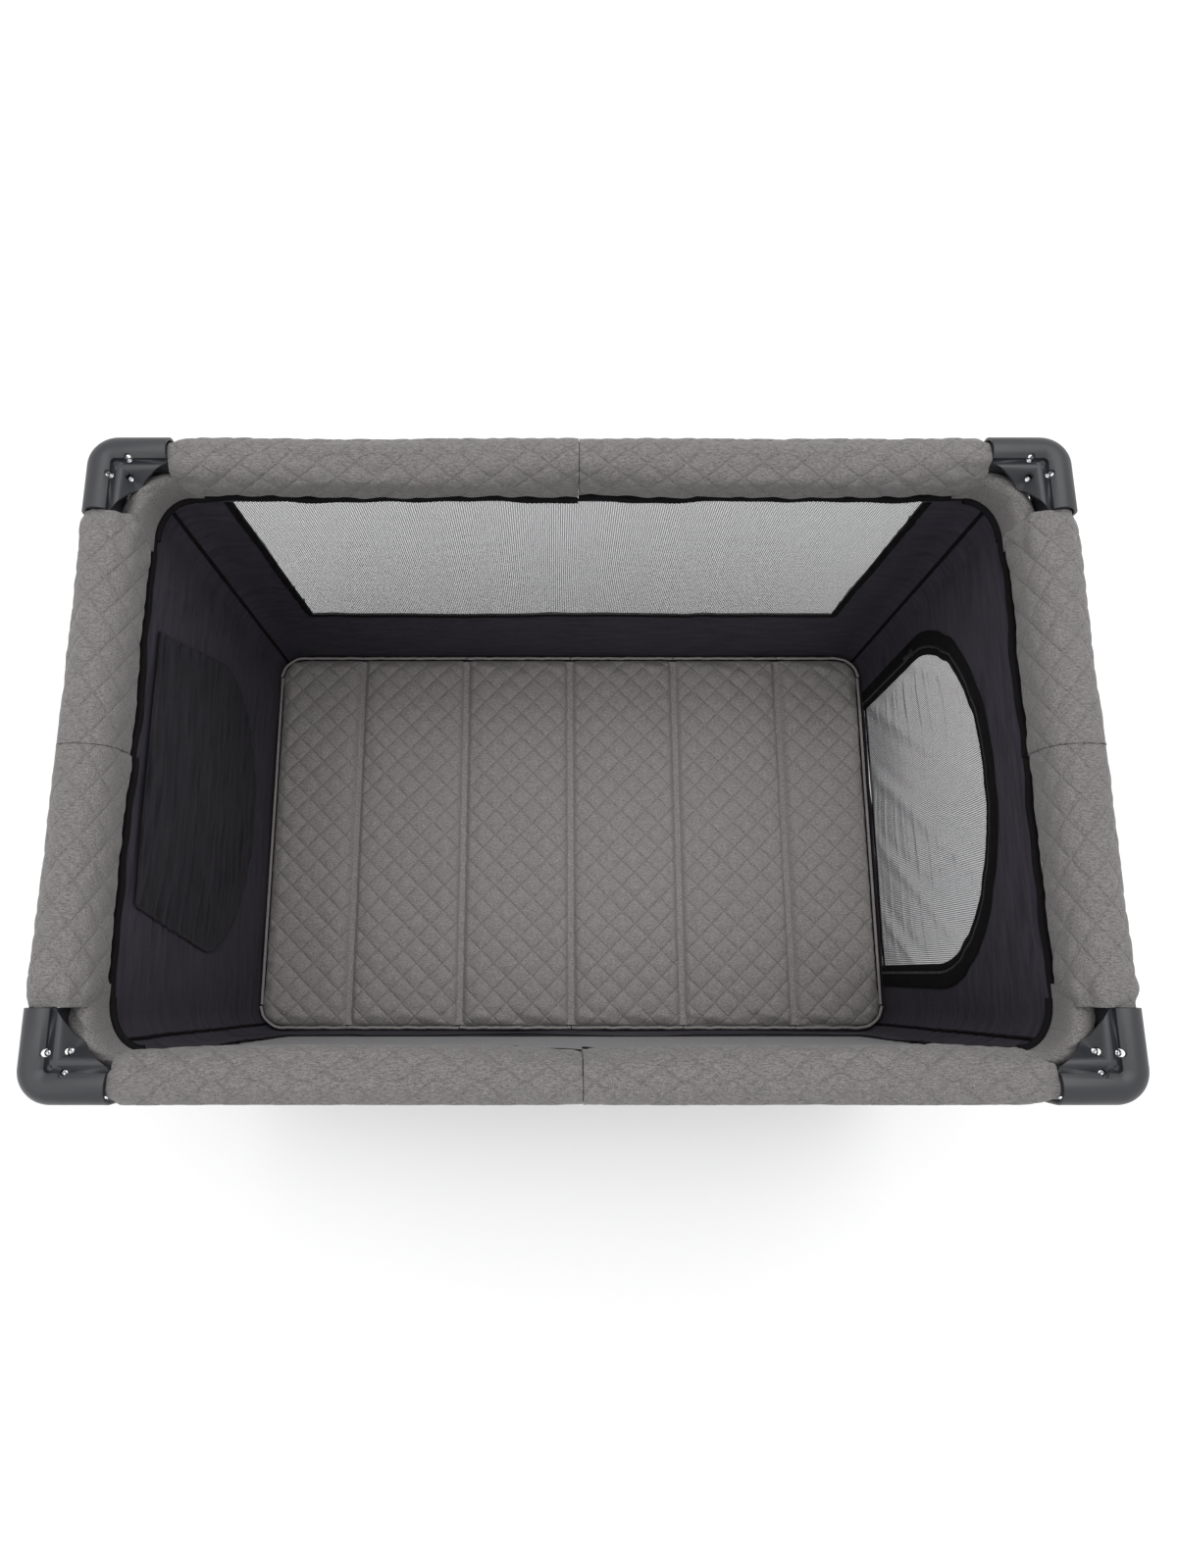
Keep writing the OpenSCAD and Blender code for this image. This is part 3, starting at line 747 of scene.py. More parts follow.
class PLAYPEN_OT_long_walls(bpy.types.Operator):
    """Near and far walls with their mesh windows and bindings"""
    bl_idname = "playpen.long_walls"
    bl_label = "Long walls"

    def corner_seam(self, shape, end):
        """Piped seam up a corner, where a long wall meets a short one."""
        heights = np.linspace(WALL_LOW + 0.01, WALL_HIGH - 0.002, 80)
        line = [(end * (wall_reach(shape.side, z) - 0.001), z) for z in heights]
        return strip_on("tape", shape, line, 0.0046, 0.0040, -0.0016)

    def execute(self, context):
        half, low, high = window_edges()
        for number, side in enumerate(LONG_SIDES):
            shape = WallShape(side, 40 + 10 * number)
            wall = wall_grid("wall_cloth_" + side, shape)
            middle = 1.5 * sizes().cloth

            def inside(c):
                return (np.abs(c[:, 0]) < half) & (c[:, 2] > low) & (c[:, 2] < high)

            drop_faces(wall, inside)
            thicken(wall, sizes().cloth)
            on_wall(wall, side, "wall", "ripstop_fabric", "wall_" + side, angle=60)
            calm = WallShape(side, 40 + 10 * number, 0.0003)

            def place(u, v):
                return calm((2 * u - 1) * (half + 0.004), low - 0.004 + (high - low + 0.006) * v)

            mesh = make_grid("mesh_window_" + side, 120, 60, place)
            thicken(mesh, MESH_THICK)
            on_wall(mesh, side, "mesh", "mesh_fabric", "mesh_" + side, angle=60)
            tapes = []
            frame_line = [(-half, high), (-half, low), (half, low), (half, high)]
            for face in (-1, 1):
                tapes.append(strip_on("tape", shape, line_between(frame_line), 0.010, 0.0018, face * middle))
            tapes.append(foot_binding("tape", shape))
            for end in (-1, 1):
                tapes.append(self.corner_seam(shape, end))
            on_wall(join("window_binding_" + side, tapes), side, "tape", "ripstop_fabric")
        return {"FINISHED"}


def corner_sign(corner):
    """Signs of X and Y at a corner."""
    return (1 if corner[1] == "r" else -1), (1 if corner[0] == "f" else -1)


class PLAYPEN_OT_post_sleeves(bpy.types.Operator):
    """Sleeves of wall cloth round the corner posts"""
    bl_idname = "playpen.post_sleeves"
    bl_label = "Post sleeves"

    def execute(self, context):
        low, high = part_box("foot_nl")[1].z + 0.003, WALL_HIGH + 0.012
        round_r = 0.0158
        for number, corner in enumerate(CORNERS):
            sx, sy = corner_sign(corner)
            wrinkle = waves(90 + number, (0.09, 0.041, 0.023), (0.5, 0.35, 0.25))
            across_wrinkle = waves(95 + number, (0.9, 0.45), (0.5, 0.5))

            def place(u, v):
                z = low + (high - low) * v
                turn = 2 * np.pi * u
                away_x = POST[0] - wall_half(0, z) + WALL_TURN * (1 - math.sqrt(0.5))
                away_y = POST[1] - wall_half(1, z) + WALL_TURN * (1 - math.sqrt(0.5))
                tip = np.hypot(away_x, away_y) + 0.001
                away_x, away_y = away_x / tip, away_y / tip
                radius = round_r + 0.0008 * wrinkle(z + 0.01 * np.sin(turn)) * (1 + 0.4 * across_wrinkle(turn))
                x, y = radius * np.cos(turn), radius * np.sin(turn)
                pull = np.clip((np.cos(turn) - 0.35) / 0.65, 0, 1) ** 1.6
                x = x + pull * (tip - radius)
                wx, wy = -(x * away_x - y * away_y), -(x * away_y + y * away_x)
                return sx * (POST[0] + wx), sy * (POST[1] + wy), z

            sleeve = make_grid("post_sleeve_" + corner, 48, 120, place)
            edit(sleeve, lambda: bpy.ops.mesh.remove_doubles(threshold=1e-6),
                 lambda: bpy.ops.mesh.normals_make_consistent(inside=False))
            thicken(sleeve, 0.0008)
            smooth(sleeve, 60)
            finish(sleeve, "wall", "post_" + corner, "ripstop_fabric")
        return {"FINISHED"}


# ---------- short walls, pocket and door ----------

POCKET_RADIUS = 0.205
POCKET_MIDDLE = 0.385      # height of the centre of the pocket's round end
MOUTH_SHARE = 0.78         # width of the pocket's mouth over its widest part

def arch_line(radius, base, middle, count=48, turn=1):
    """Points of an arch from one foot over the round end to the other; turn -1 hangs it upside down."""
    points = [(-radius, base)]
    for i in range(count + 1):
        angle = math.pi * (1 - i / count)
        points.append((radius * math.cos(angle), middle + turn * radius * math.sin(angle)))
    points.append((radius, base))
    return points


def in_arch(s, z, radius, base, middle, turn=1):
    """True inside an arch outline."""
    straight = (np.abs(s) < radius) & ((z - base) * turn > 0) & ((z - middle) * turn <= 0)
    return straight | ((np.hypot(s, z - middle) < radius) & ((z - middle) * turn > 0))


def door_arch():
    """Radius, foot and middle height of the door's arch."""
    radius = (DOOR_BOX[1].y - DOOR_BOX[0].y) / 2
    return radius, DOOR_BOX[0].z, DOOR_BOX[1].z - radius


class PLAYPEN_OT_left_wall(bpy.types.Operator):
    """Left wall and the storage pocket sewn to it"""
    bl_idname = "playpen.left_wall"
    bl_label = "Left wall"

    def execute(self, context):
        shape = WallShape("left", 60)
        wall = wall_grid("wall_cloth_left", shape)
        thicken(wall, sizes().cloth)
        on_wall(wall, "left", "wall", "ripstop_fabric", "wall_left", angle=60)

        radius, mouth, middle = POCKET_RADIUS, WALL_HIGH - 0.034, POCKET_MIDDLE
        belly = waves(71, (0.16, 0.07), (0.6, 0.4))

        def place(u, v):
            # from the mouth, v 0, down to the bottom, v 1: the rows narrow into the round end
            depth = v * (mouth - middle + radius)
            z = mouth - depth
            low_part = np.clip(middle - z, 0, radius * 0.999)
            taper = 1 - (1 - MOUTH_SHARE) * np.clip((z - middle) / (mouth - middle), 0, 1)
            half = np.sqrt(radius ** 2 - low_part ** 2) * taper
            s = (2 * u - 1) * half
            sag = 0.004 * np.sin(np.pi * u) * (1 - v) + 0.0012 * belly(s) * np.sin(np.pi * u)
            return shape(s, z, -0.0022 - np.abs(sag))

        # The pocket is real cloth; its darker colour is painted shade of the doubled layer.
        pocket = make_grid("pocket_cloth", 70, 90, place)
        thicken(pocket, 0.0009)
        on_wall(pocket, "left", "pocket", "ripstop_fabric", angle=60)
        lip = radius * MOUTH_SHARE
        round_end = np.linspace(0.05, math.pi - 0.05, 40)
        outline = [(-lip, mouth), (-radius, middle)]
        outline += [(-radius * math.cos(a), middle - radius * math.sin(a)) for a in round_end]
        outline += [(radius, middle), (lip, mouth)]
        seam = strip_on("pocket_seam", shape, line_between(outline), 0.005, 0.0018, -0.0026)
        rim = strip_on("pocket_rim", shape, line_between([(-lip, mouth), (lip, mouth)]), 0.012, 0.0026, -0.0052)
        on_wall(join("pocket_binding", [seam, rim]), "left", "pocket", "ripstop_fabric")
        on_wall(foot_binding("foot_binding_left", shape), "left", "tape", "ripstop_fabric")
        return {"FINISHED"}


class PLAYPEN_OT_right_wall(bpy.types.Operator):
    """Right wall with its arched opening, the mesh door and the zip between them"""
    bl_idname = "playpen.right_wall"
    bl_label = "Right wall and door"

    def execute(self, context):
        radius, base, middle = door_arch()

        def beside_zip(s, z):
            """0 beside the zip, where the tape keeps the cloth flat, and 1 away from it."""
            return ramp(np.abs(np.hypot(s, np.clip(z - middle, 0, None)) - radius), 0.016, 0.040)

        shape = WallShape("right", 80, sizes().pleat * 1.25, still=beside_zip)
        cell = 0.005
        wall = wall_grid("wall_cloth_right", shape, cell)
        gap = 0.004

        def opening(c):
            return in_arch(c[:, 1], c[:, 2], radius + gap, base - gap, middle)

        drop_faces(wall, opening)
        thicken(wall, sizes().cloth)
        on_wall(wall, "right", "wall", "ripstop_fabric", "wall_right", angle=60)

        wobble = waves(83, (0.062, 0.041, 0.13), (0.5, 0.3, 0.6))
        calm = WallShape("right", 80, 0.0003, still=beside_zip)

        def panel_place(u, v):
            z = base + 0.002 + (middle + radius - base - 0.004) * v
            up = np.clip(z - middle, 0, radius * 0.9995)
            half = np.sqrt(radius ** 2 - up ** 2) - 0.003
            s = (2 * u - 1) * half
            ripple = 0.0007 * wobble(s + 0.5 * z) * ramp(v, 0.0, 0.1)
            return calm(s, z, ripple)

        door = make_grid("door_mesh", 90, 110, panel_place)
        thicken(door, MESH_THICK)
        on_wall(door, "right", "door", "mesh_fabric", "door_panel", angle=60, body="door")

        line = line_between(arch_line(radius, base, middle, 64), 0.006)
        length = np.cumsum([0] + [math.dist(p, q) for p, q in zip(line[:-1], line[1:])])
        crown = ramp(np.array([z for s, z in line]), middle, middle + radius * 0.5)
        shift = 0.0016 * wobble(length) * crown

        def zip_strip(name, inset, wide, thick, lift):
            points = []
            for (s, z), move in zip(line, shift):
                reach = math.hypot(s, max(z - middle, 0)) or radius
                k = (reach - inset + move) / reach
                points.append((s * k, middle + (z - middle) * k if z > middle else z))
            return strip_on(name, shape, points, wide, thick, lift)

        wall_tape = zip_strip("zip_tape_wall", -0.0110, 0.023, 0.0022, -0.0018)
        wall_tape_out = zip_strip("zip_tape_wall_out", -0.0110, 0.022, 0.0018, 0.0012)
        on_wall(join("zip_tape_wall", [wall_tape, wall_tape_out]), "right", "tape", "ripstop_fabric")
        door_tape = zip_strip("zip_tape_door", 0.0065, 0.012, 0.0018, -0.0012)
        foot_tape = strip_on("door_foot", shape,
                             line_between([(-radius + 0.008, base + 0.006), (radius - 0.008, base + 0.006)]),
                             0.010, 0.0024, 0.0)
        on_wall(join("zip_tape_door", [door_tape, foot_tape]), "right", "tape", "ripstop_fabric", body="door")
        teeth = zip_strip("zip_teeth", 0.0, 0.0042, 0.0024, -0.0020)
        on_wall(teeth, "right", "button", "button_plastic")
        self.slider(shape)
        return {"FINISHED"}

    def slider(self, shape):
        """Zip slider: a bridge with rounded shoulders and a pull tab that hangs from it."""
        low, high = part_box("zip_slider")
        deselect()
        bpy.ops.mesh.primitive_cube_add(size=1)
        piece = bpy.context.object
        piece.name = "zip_slider_body"
        edit(piece, lambda: bpy.ops.mesh.subdivide(number_cuts=3),
             lambda: bpy.ops.transform.resize(value=(0.0045, 0.012, 0.014)))
        co = points_of(piece)
        waist = 1 - 0.3 * np.clip(-co[:, 2] / 0.007, 0, 1)
        co[:, 1] *= waist
        middle = (low + high) / 2
        place = np.array([middle.x, middle.y, high.z - 0.007])
        put_points(piece, co + place)
        pull_path = [(middle.x - 0.002, middle.y, high.z - 0.010 - 0.0026 * i) for i in range(10)]
        pull = sweep("pull", pull_path, 0.0033, 10, False, 0.3, (1, 0, 0))
        piece = join("zip_slider_body", [piece, pull])
        bevel = piece.modifiers.new("bevel", "BEVEL")
        bevel.width = 0.0006
        bevel.segments = 2
        select_only(piece)
        bpy.ops.object.modifier_apply(modifier=bevel.name)
        on_wall(piece, "right", "button", "button_plastic", "zip_slider", angle=40, body="zip_slider")


class PLAYPEN_OT_floor_cloth(bpy.types.Operator):
    """Floor cloth under the mattress, in four quarters that follow the base tubes"""
    bl_idname = "playpen.floor_cloth"
    bl_label = "Floor cloth"

    def execute(self, context):
        low, high = FLOOR_CLOTH
        z0 = (low.z + high.z) / 2
        turn = WALL_TURN
        reach_x, reach_y = wall_half(0, WALL_LOW) + FLOOR_OVERLAP, wall_half(1, WALL_LOW) + FLOOR_OVERLAP
        sag = waves(101, (0.23, 0.11), (0.6, 0.4))
        for corner in CORNERS:
            sx, sy = corner_sign(corner)

            def place(u, v):
                x = reach_x * u
                past = np.clip(x - reach_x + turn, 0, turn)
                limit = reach_y - turn + np.sqrt(turn ** 2 - past ** 2)
                y = limit * v
                z = z0 + 0.0005 * sag(x + y) * np.sin(np.pi * u) * np.sin(np.pi * v)
                return sx * x, sy * y, z

            cloth = make_grid("floor_cloth_" + corner, 90, 60, place)
            edit(cloth, lambda: bpy.ops.mesh.remove_doubles(threshold=1e-6))
            if sx * sy < 0:
                edit(cloth, lambda: bpy.ops.mesh.flip_normals())
            thicken(cloth, 0.0012)
            smooth(cloth, 60)
            finish(cloth, "wall", "base_tube_" + corner, "ripstop_fabric", "floor_panel")
            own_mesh(cloth)
        return {"FINISHED"}


# ---------- padded covers ----------

BINDING_RADIUS = 0.0052
BINDING_FLATNESS = 0.75


def flatten_cover(piece):
    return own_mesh(piece)


def flatten_gusset(piece):
    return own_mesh(piece)


def bind_edge(name, path, body):
    """Binding tape along the lower inner edge of a cover or a gusset."""
    binding = sweep(name, path, BINDING_RADIUS, 10, False, BINDING_FLATNESS)
    smooth(binding, 50)
    return finish(binding, "tape", body, "ripstop_fabric")


def cover_outline(t, width):
    """Section of a rail pad: (in from the outer edge, height) at t, 0 to 1 round it from its lower outer edge."""
    low, high = COVER_LOW, COVER_HIGH - 0.001
    r1, r2 = 0.018, min(0.030, width * 0.55)
    left = 0.0015
    points = [(left, low + 0.010), (left, high - r1)]
    points += [(left + r1 - r1 * math.cos(a), high - r1 + r1 * math.sin(a))
               for a in np.linspace(0.15, math.pi / 2, 8)]
    points += [(width - r2 + r2 * math.sin(a), high - r2 + r2 * math.cos(a))
               for a in np.linspace(0, math.pi / 2, 10)]
    points += [(width, low + 0.010), (width - 0.004, low + 0.003), (width - 0.012, low + 0.0005)]
    points += [(left + 0.011, low + 0.0005), (left + 0.003, low + 0.003)]
    ring = np.array(points + points[:1])
    step = np.concatenate([[0], np.cumsum(np.hypot(*np.diff(ring, axis=0).T))])
    t = np.asarray(t) * step[-1]
    return np.interp(t, step, ring[:, 0]), np.interp(t, step, ring[:, 1])


def quilt(a, b, cell):
    """Rise of diamond quilting, 0 on a stitch line and 1 in the middle of a diamond."""
    p = (a + b) / math.sqrt(2)
    q = (a - b) / math.sqrt(2)
    return np.sqrt(np.abs(np.sin(np.pi * p / cell) * np.sin(np.pi * q / cell)))


def sewn_wave(a, b):
    """Puckers that quilting leaves between its lines."""
    return np.sin(a * 190 + 2 * np.sin(b * 70)) * np.sin(b * 230 + 1.7 * np.sin(a * 60))


def cover_side(name):
    """(side, corner, start, end) of a cover half: how far along its side it runs, from the outer corner."""
    side, end = name.split("_")
    if side in LONG_SIDES:
        corner = side[0] + end
        return side, corner, CAP_ARM + 0.0015, HALF[0] - 0.0004
    return side, end + side[0], CAP_ARM + 0.0015, HALF[1] - 0.0004


def to_side(side, corner, along, inset, z):
    """World place of a point given from an outer corner: along its side, in from the outer edge, and up."""
    sx, sy = corner_sign(corner)
    if side in LONG_SIDES:
        return sx * (HALF[0] - along), sy * (HALF[1] - inset), z
    return sx * (HALF[0] - inset), sy * (HALF[1] - along), z


def from_side(side, corner, points):
    """The reverse of to_side: (along, inset, z) of world points."""
    sx, sy = corner_sign(corner)
    a, b = HALF[0] - sx * points[:, 0], HALF[1] - sy * points[:, 1]
    return (a, b, points[:, 2]) if side in LONG_SIDES else (b, a, points[:, 2])


COVERS = ("near_l", "near_r", "far_l", "far_r", "left_n", "left_f", "right_n", "right_f")


class PLAYPEN_OT_covers(bpy.types.Operator):
    """Padded rail covers in quilted heather cloth, two halves on each side"""
    bl_idname = "playpen.covers"
    bl_label = "Rail covers"

    def execute(self, context):
        for number, name in enumerate(COVERS):
            self.cover(name, number)
        return {"FINISHED"}

    def cover(self, name, number):
        side, corner, start, end = cover_side(name)
        width = PAD_WIDTH[0 if side in LONG_SIDES else 1]
        length = end - start
        soft = waves(200 + number, (0.19, 0.083, 0.31), (0.45, 0.3, 0.5))
        pull = waves(240 + number, (0.043, 0.027, 0.071), (0.5, 0.35, 0.4))
        cross = waves(250 + number, (0.033, 0.021, 0.055), (0.5, 0.35, 0.4))

        def place(u, v):
            inset, z = cover_outline(u, width)
            return to_side(side, corner, start - PAD_END + (length + 2 * PAD_END) * v, inset, z)

        piece = make_tube("cover_" + name + "_pad", 60, int(length / 0.006), place)

        def hold(points):
            along, _, z = from_side(side, corner, points)
            free = ramp(along, start, start + 0.05) * ramp(end - along, 0, 0.02)
            return free * ramp(z, COVER_LOW, COVER_LOW + 0.02)

        inflate(piece, 0.005, sizes().swell, hold)
        along, inset, z = from_side(side, corner, points_of(piece))
        sense = np.where(inset > width / 2, 1, -1)
        round_way = inset + sense * (COVER_HIGH - z)
        free = ramp(z, COVER_LOW + 0.001, COVER_LOW + 0.016)
        near_cap = 1 - ramp(along, start, start + 0.075)
        ends = ramp(along, start, start + 0.012)
        push = sizes().puff * 0.62 * quilt(along, round_way, sizes().stitch) * ends
        push = push + 0.0004 * sewn_wave(along, round_way) + 0.0009 * soft(along + 0.3 * round_way)
        push = push + (0.0021 * pull(round_way) + 0.0010 * cross(along + 0.4 * round_way)) * near_cap
        push = push * free - 0.0022 * (1 - ramp(along, start, start + 0.02)) - 0.0012 * (1 - ends)
        push_out(piece, push)
        points = points_of(piece)
        along, inset, z = from_side(side, corner, points)
        lower = (1 - ramp(np.hypot(inset - width, z - COVER_LOW), 0, 0.035))
        inset = inset + 0.0022 * soft(along * 1.3 + 1) * lower
        # the skin stays outside the rail, and outside the lock in the middle of the side
        reach = np.hypot(inset - RAIL_IN, z - RAIL_Z)
        least = 0.0136 + 0.0042 * ramp(along, end - 0.062, end - 0.048)
        away = np.maximum(1, least / reach)
        inset, z = RAIL_IN + (inset - RAIL_IN) * away, RAIL_Z + (z - RAIL_Z) * away
        inset = np.maximum(inset, 0.0004)
        along = np.clip(along, CAP_ARM + 0.0003, end)
        z = np.clip(z, COVER_LOW - 0.0005, TOP - 0.0008)
        put_points(piece, np.column_stack(to_side(side, corner, along, inset, z)))
        mark_quilt(piece, along, round_way, 0.95 * free * ends)
        smooth(piece, 75)
        finish(piece, "pad", "rail_" + name, "heather_fabric", "cover_" + name)
        flatten_cover(piece)

        path = []
        rows = int(length / 0.006)
        start_b = CAP_ARM + 0.002
        for i in range(rows + 1):
            reach = start_b + (end - start_b) * i / rows
            path.append(to_side(side, corner, reach, width - 0.003 + 0.0022 * float(soft(reach * 1.3 + 1)),
                                COVER_LOW - 0.0005))
        flatten_cover(bind_edge("cover_binding_" + name, path, "rail_" + name))


class PLAYPEN_OT_corner_gussets(bpy.types.Operator):
    """Quilted cloth that closes the inner corner between two pads, under each cap"""
    bl_idname = "playpen.corner_gussets"
    bl_label = "Corner gussets"

    def execute(self, context):
        centre = 0.100
        inner = (centre - PAD_WIDTH[1], centre - PAD_WIDTH[0])
        outer = (centre - 0.028, centre - 0.026)
        low, high = COVER_LOW - 0.001, COVER_HIGH - 0.026
        for number, corner in enumerate(CORNERS):
            sx, sy = corner_sign(corner)
            fold = waves(260 + number, (0.9, 0.55, 0.34), (0.5, 0.4, 0.3))
            crease = waves(265 + number, (0.031, 0.019), (0.6, 0.4))

            def edge(theta, reach):
                return centre - reach[0] * np.sin(theta), centre - reach[1] * np.cos(theta)

            def place(u, v):
                over = -0.012 / 0.06
                theta = (over + (1 - 2 * over) * v) * np.pi / 2
                lean = np.clip(theta, 0, np.pi / 2)
                (ai, bi), (ao, bo) = edge(lean, inner), edge(lean, outer)
                past_a = np.clip(-theta, 0, None) * 0.05
                past_b = np.clip(theta - np.pi / 2, 0, None) * 0.05
                turn = 2 * np.pi * u
                wide = np.sign(np.cos(turn)) * np.abs(np.cos(turn)) ** np.where(np.sin(turn) < 0, 0.15, 0.8)
                across = 0.5 + 0.5 * wide
                squarer = np.sign(np.sin(turn)) * np.abs(np.sin(turn)) ** 0.7
                top = high + 0.006 * np.cos(2 * (lean - np.pi / 4))
                z = (low + top) / 2 + (top - low) / 2 * squarer
                upper = np.clip(squarer, 0, 1)
                z = z - 0.014 * upper * (1 - across) ** 2 + 0.0018 * fold(theta + across) * upper
                z = z + 0.0012 * crease(ao * (1 - across) + ai * across + theta * 0.02) * upper
                a = ao + (ai - ao) * across + past_a
                b = bo + (bi - bo) * across + past_b
                return sx * (HALF[0] - a), sy * (HALF[1] - b), z

            piece = make_tube("corner_gusset_" + corner, 44, 60, place)
            points = points_of(piece)
            a, b = HALF[0] - sx * points[:, 0], HALF[1] - sy * points[:, 1]
            mark_quilt(piece, a, b, np.full(len(points), 0.5))
            smooth(piece, 75)
            finish(piece, "pad", "post_" + corner, "heather_fabric")
            flatten_gusset(piece)
            path = [(sx * (HALF[0] - a), sy * (HALF[1] - b), low + 0.0005)
                    for a, b in (edge(t, inner) for t in np.linspace(-0.02, np.pi / 2 + 0.02, 40))]
            flatten_gusset(bind_edge("corner_binding_" + corner, path, "post_" + corner))
        return {"FINISHED"}


# ---------- mattress ----------

class PLAYPEN_OT_mattress(bpy.types.Operator):
    """Quilted mattress in six segments, with piping round its edge"""
    bl_idname = "playpen.mattress"
    bl_label = "Mattress"

    def execute(self, context):
        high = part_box("mattress_6")[1]
        half_x, half_y = high.x, high.y
        turn = 0.040
        pads = {"mattress_%d" % number: self.segment(number, half_x, half_y, turn) for number in range(1, 7)}
        for joint in frame["joints"]:
            if joint["name"].startswith("mattress_fold"):
                self.hinge_cloth(joint, half_y, pads)
        return {"FINISHED"}

    def hinge_cloth(self, joint, half_y, pads):
        """Strip of the cover at the bottom of the channel between two segments."""
        left, right = sorted((joint["parent"], joint["child"]))
        middle, reach, bend = joint["pos_m"][0], 0.013, 0.006
        half, z = half_y - 0.006, MATTRESS_TOP - 0.0140

        def place(u, v):
            return middle + reach * (2 * u - 1), half * (2 * v - 1), np.full(len(u), z)

        strip = make_grid("mattress_hinge_cloth_" + right[-1], 12, 60, place)
        thicken(strip, 0.001)
        smooth(strip, 60)
        strip.data.materials.append(material("quilt"))
        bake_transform(strip)

    def segment(self, number, half_x, half_y, turn):
        low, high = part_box("mattress_%d" % number)
        x0, x1 = low.x + 0.0003, high.x - 0.0003
        crinkle = waves(310 + number, (0.031, 0.019, 0.047), (0.5, 0.3, 0.5))
        ease = waves(300 + number, (0.33, 0.17, 0.09), (0.6, 0.4, 0.3))
        open_end = {1: -1, 6: 1}.get(number, 0)

        def edge_y(x):
            out = np.clip(np.abs(x) - (half_x - turn), 0, turn)
            return half_y - turn + np.sqrt(np.clip(turn ** 2 - out ** 2, 0, None))

        def place(u, v):
            # round the section at each x: top, far side, bottom, near side, with rounded edges
            cos, sin = np.cos(2 * np.pi * u), np.sin(2 * np.pi * u)
            x = x0 + (x1 - x0) * v
            squareness = np.maximum(np.abs(cos), np.abs(sin))
            box_y = np.clip(1.22 * cos / squareness ** 0.92, -1, 1)
            box_z = np.clip(1.10 * sin / squareness ** 0.80, -1, 1)
            reach = edge_y(x) - 0.003
            middle, thick = (MATTRESS_TOP + MATTRESS_LOW) / 2, MATTRESS_TOP - MATTRESS_LOW - 0.008
            return x, reach * box_y, middle - 0.002 + thick / 2 * box_z

        piece = make_tube("mattress_pad_%d" % number, 220, 36, place)

        def from_seam(x):
            """Distance from the nearer channel between two segments."""
            left, right = x - x0, x1 - x
            return left if open_end == 1 else right if open_end == -1 else np.minimum(left, right)

        def hold(points):
            x, y, z = points.T
            free = ramp(from_seam(x), 0.0, 0.03) * ramp(edge_y(x) - np.abs(y), 0, 0.02)
            return free * (z > MATTRESS_LOW + 0.012)

        inflate(piece, 0.006, sizes().swell * 0.7, hold)
        points = points_of(piece)
        x, y, z = points.T
        edge = edge_y(x) - np.abs(y)
        if open_end:
            edge = np.minimum(edge, np.abs(half_x * open_end - x))
        upper = ramp(z, MATTRESS_TOP - 0.016, MATTRESS_TOP - 0.008)
        seam = from_seam(x)
        flat = ramp(seam, 0.001, 0.014) * ramp(edge, 0.004, 0.022)
        z = z + upper * sizes().puff * 1.25 * quilt(x, y, sizes().stitch) * flat
        z = z + upper * (0.0006 * sewn_wave(x, y) + 0.0012 * ease(x + 0.6 * y)) * ramp(seam, 0, 0.02)
        z = z + upper * 0.0016 * crinkle(y + 0.3 * x) * (1 - ramp(edge, 0.010, 0.045))
        z = z + upper * 0.0010 * crinkle(y * 1.3) * (1 - ramp(seam, 0.004, 0.020))
        z = z - upper * (0.0085 * (1 - ramp(seam, 0.0, 0.011)) + 0.0035 * (1 - ramp(edge, 0, 0.012)))
        z = np.clip(z, MATTRESS_LOW + 0.0004, MATTRESS_TOP + 0.006)
        put_points(piece, np.column_stack([np.clip(x, x0, x1), y, z]))
        mark_quilt(piece, x, y, upper * ramp(seam, 0.002, 0.008) * ramp(edge, 0.004, 0.010))
        smooth(piece, 75)
        finish(piece, "quilt", "mattress_%d" % number, "quilted_fabric", "mattress_%d" % number)

        pipes = []
        for sign in (-1, 1):
            path = []
            steps = max(8, int((x1 - x0) / 0.005))
            for i in range(steps + 1):
                x = x0 + (x1 - x0) * i / steps
                y = sign * (float(edge_y(np.array(x))) - 0.0018 + 0.0006 * float(crinkle(x)))
                path.append((x, y, MATTRESS_TOP - 0.0065 + 0.0008 * float(crinkle(x + 0.3))))
            pipes.append(sweep("pipe", path, 0.0024, 8))
        if number in (1, 6):
            x_end = x0 if number == 1 else x1
            sign = -1 if number == 1 else 1
            path = [(x_end - sign * 0.0018, y, MATTRESS_TOP - 0.0065)
                    for y in np.linspace(-half_y + turn, half_y - turn, 90)]
            pipes.append(sweep("pipe", path, 0.0024, 8))
        piping = join("mattress_piping_%d" % number, pipes)
        smooth(piping, 60)
        finish(piping, "quilt", "mattress_%d" % number, "quilted_fabric")
        return piece


# ---------- carried-over hard parts ----------

class PLAYPEN_OT_hard_parts(bpy.types.Operator):
    """Finishes of the caps, posts, rails, feet, locks, hub and fasteners"""
    bl_idname = "playpen.hard_parts"
    bl_label = "Hard parts"

    def execute(self, context):
        finishes = {
            "cap": "plastic", "foot": "plastic", "lock": "plastic", "hub": "plastic",
            "button": "button", "leg": "tube", "rail": "tube", "base": "tube", "post": "zinc",
        }
        for name, node in frame["nodes"].items():
            kind = "button" if name.startswith("lock_button") else name.split("_")[0]
            if kind not in finishes:
                continue
            node.data.materials.clear()
            node.data.materials.append(material(finishes[kind]))
            weld = node.modifiers.new("weld", "WELD")
            weld.merge_threshold = 0.00002
            if kind in ("cap", "foot", "lock", "hub", "button"):
                bevel = node.modifiers.new("bevel", "BEVEL")
                bevel.width = 0.0007
                bevel.segments = 2
                bevel.limit_method = "ANGLE"
                bevel.angle_limit = math.radians(38)
            smooth(node, 38)
        return {"FINISHED"}


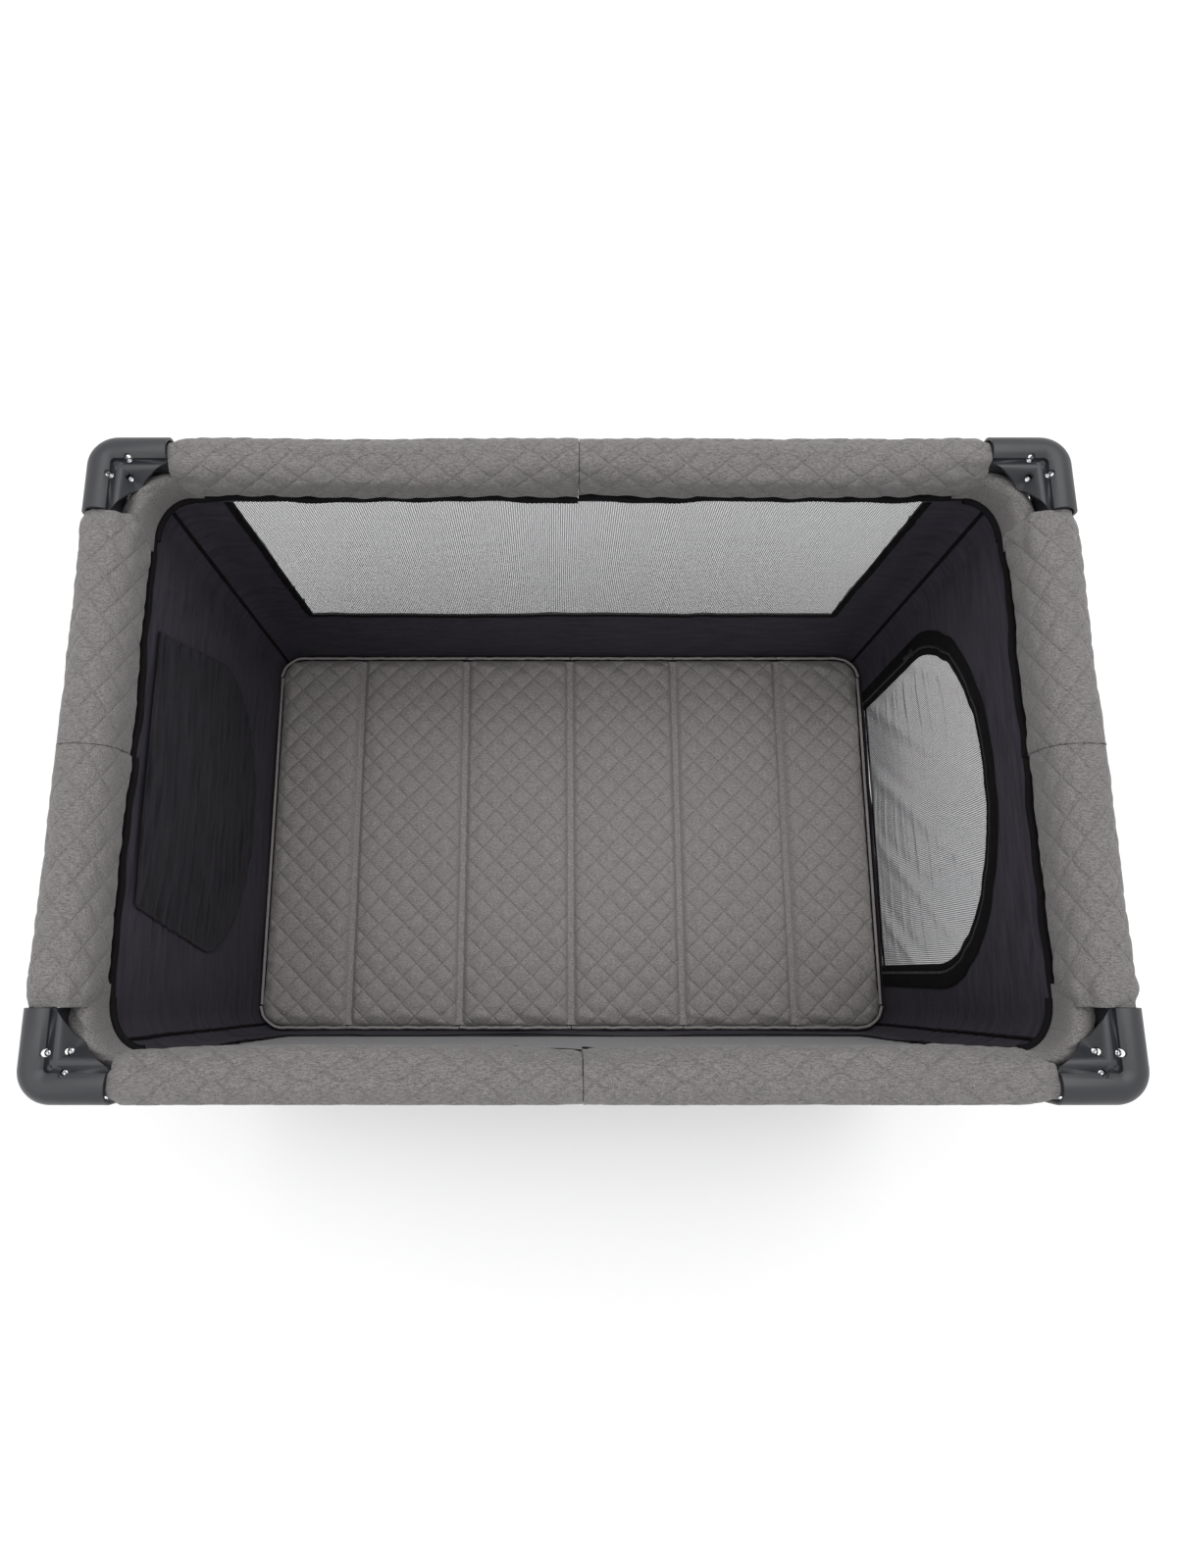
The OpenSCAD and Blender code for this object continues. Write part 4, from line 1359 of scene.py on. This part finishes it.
# ---------- stage ----------

SENSOR_MM, LENS_MM = 36.0, 22.56
LENS_SHIFT = (0.0216, -0.0221)
EYE_AT = (-0.028, -0.236, 1.7735)      # camera place in metres, over the near half
EYE_TILT = 12.85                       # degrees from straight down
SKY_STRENGTH = 1.0
LIGHTS = (                             # name, place, aim, size in metres, watts
    ("key_light", (0.4, 1.1, 3.6), (0, -0.1, 0.4), 3.0, 52),
    ("fill_light", (-1.8, -0.9, 3.4), (0, 0, 0.3), 3.0, 20),
)


class PLAYPEN_OT_stage(bpy.types.Operator):
    """Pale floor, soft studio light and the camera over the near side"""
    bl_idname = "playpen.stage"
    bl_label = "Stage"

    def execute(self, context):
        scene = context.scene
        deselect()
        bpy.ops.mesh.primitive_plane_add(size=14, location=(0, 0, 0))
        floor = context.object
        floor.name = "studio_floor"
        floor.data.materials.append(material("paper"))
        world = bpy.data.worlds.new("studio")
        scene.world = world
        world.use_nodes = True
        background = world.node_tree.nodes["Background"]
        background.inputs["Color"].default_value = hex_colour("ffffff")
        background.inputs["Strength"].default_value = SKY_STRENGTH
        for name, place, aim, size, power in LIGHTS:
            light = bpy.data.lights.new(name, "AREA")
            light.size = size
            light.energy = power
            lamp = bpy.data.objects.new(name, light)
            scene.collection.objects.link(lamp)
            lamp.location = place
            lamp.rotation_euler = (Vector(aim) - Vector(place)).to_track_quat("-Z", "Y").to_euler()
        camera = bpy.data.cameras.new("camera")
        camera.sensor_width, camera.lens = SENSOR_MM, LENS_MM
        camera.shift_x, camera.shift_y = LENS_SHIFT
        eye = bpy.data.objects.new("camera", camera)
        scene.collection.objects.link(eye)
        eye.location = EYE_AT
        eye.rotation_euler = (math.radians(EYE_TILT), 0, 0)
        scene.camera = eye
        scene.view_settings.view_transform = "Standard"
        return {"FINISHED"}


class PLAYPEN_PT_panel(bpy.types.Panel):
    """Buttons for every part of the playpen"""
    bl_idname = "PLAYPEN_PT_panel"
    bl_label = "Playpen"
    bl_space_type = "VIEW_3D"
    bl_region_type = "UI"
    bl_category = "Playpen"

    def draw(self, context):
        for operator in OPERATORS:
            self.layout.operator(operator.bl_idname)
        for group in (context.scene.playpen_sizes, context.scene.playpen_colours):
            for name in group.__annotations__:
                self.layout.prop(group, name)


OPERATORS = (
    PLAYPEN_OT_stage,
    PLAYPEN_OT_hard_parts,
    PLAYPEN_OT_covers,
    PLAYPEN_OT_corner_gussets,
    PLAYPEN_OT_long_walls,
    PLAYPEN_OT_post_sleeves,
    PLAYPEN_OT_left_wall,
    PLAYPEN_OT_right_wall,
    PLAYPEN_OT_floor_cloth,
    PLAYPEN_OT_mattress,
)
CLASSES = (PlaypenSizes, PlaypenColours, *OPERATORS, PLAYPEN_PT_panel)


def register():
    for cls in CLASSES:
        bpy.utils.register_class(cls)
    bpy.types.Scene.playpen_sizes = bpy.props.PointerProperty(type=PlaypenSizes)
    bpy.types.Scene.playpen_colours = bpy.props.PointerProperty(type=PlaypenColours)


def unregister():
    del bpy.types.Scene.playpen_sizes
    del bpy.types.Scene.playpen_colours
    for cls in reversed(CLASSES):
        bpy.utils.unregister_class(cls)


def main():
    register()
    for operator in OPERATORS:
        group, name = operator.bl_idname.split(".")
        getattr(getattr(bpy.ops, group), name)()


if __name__ == "__main__":
    main()
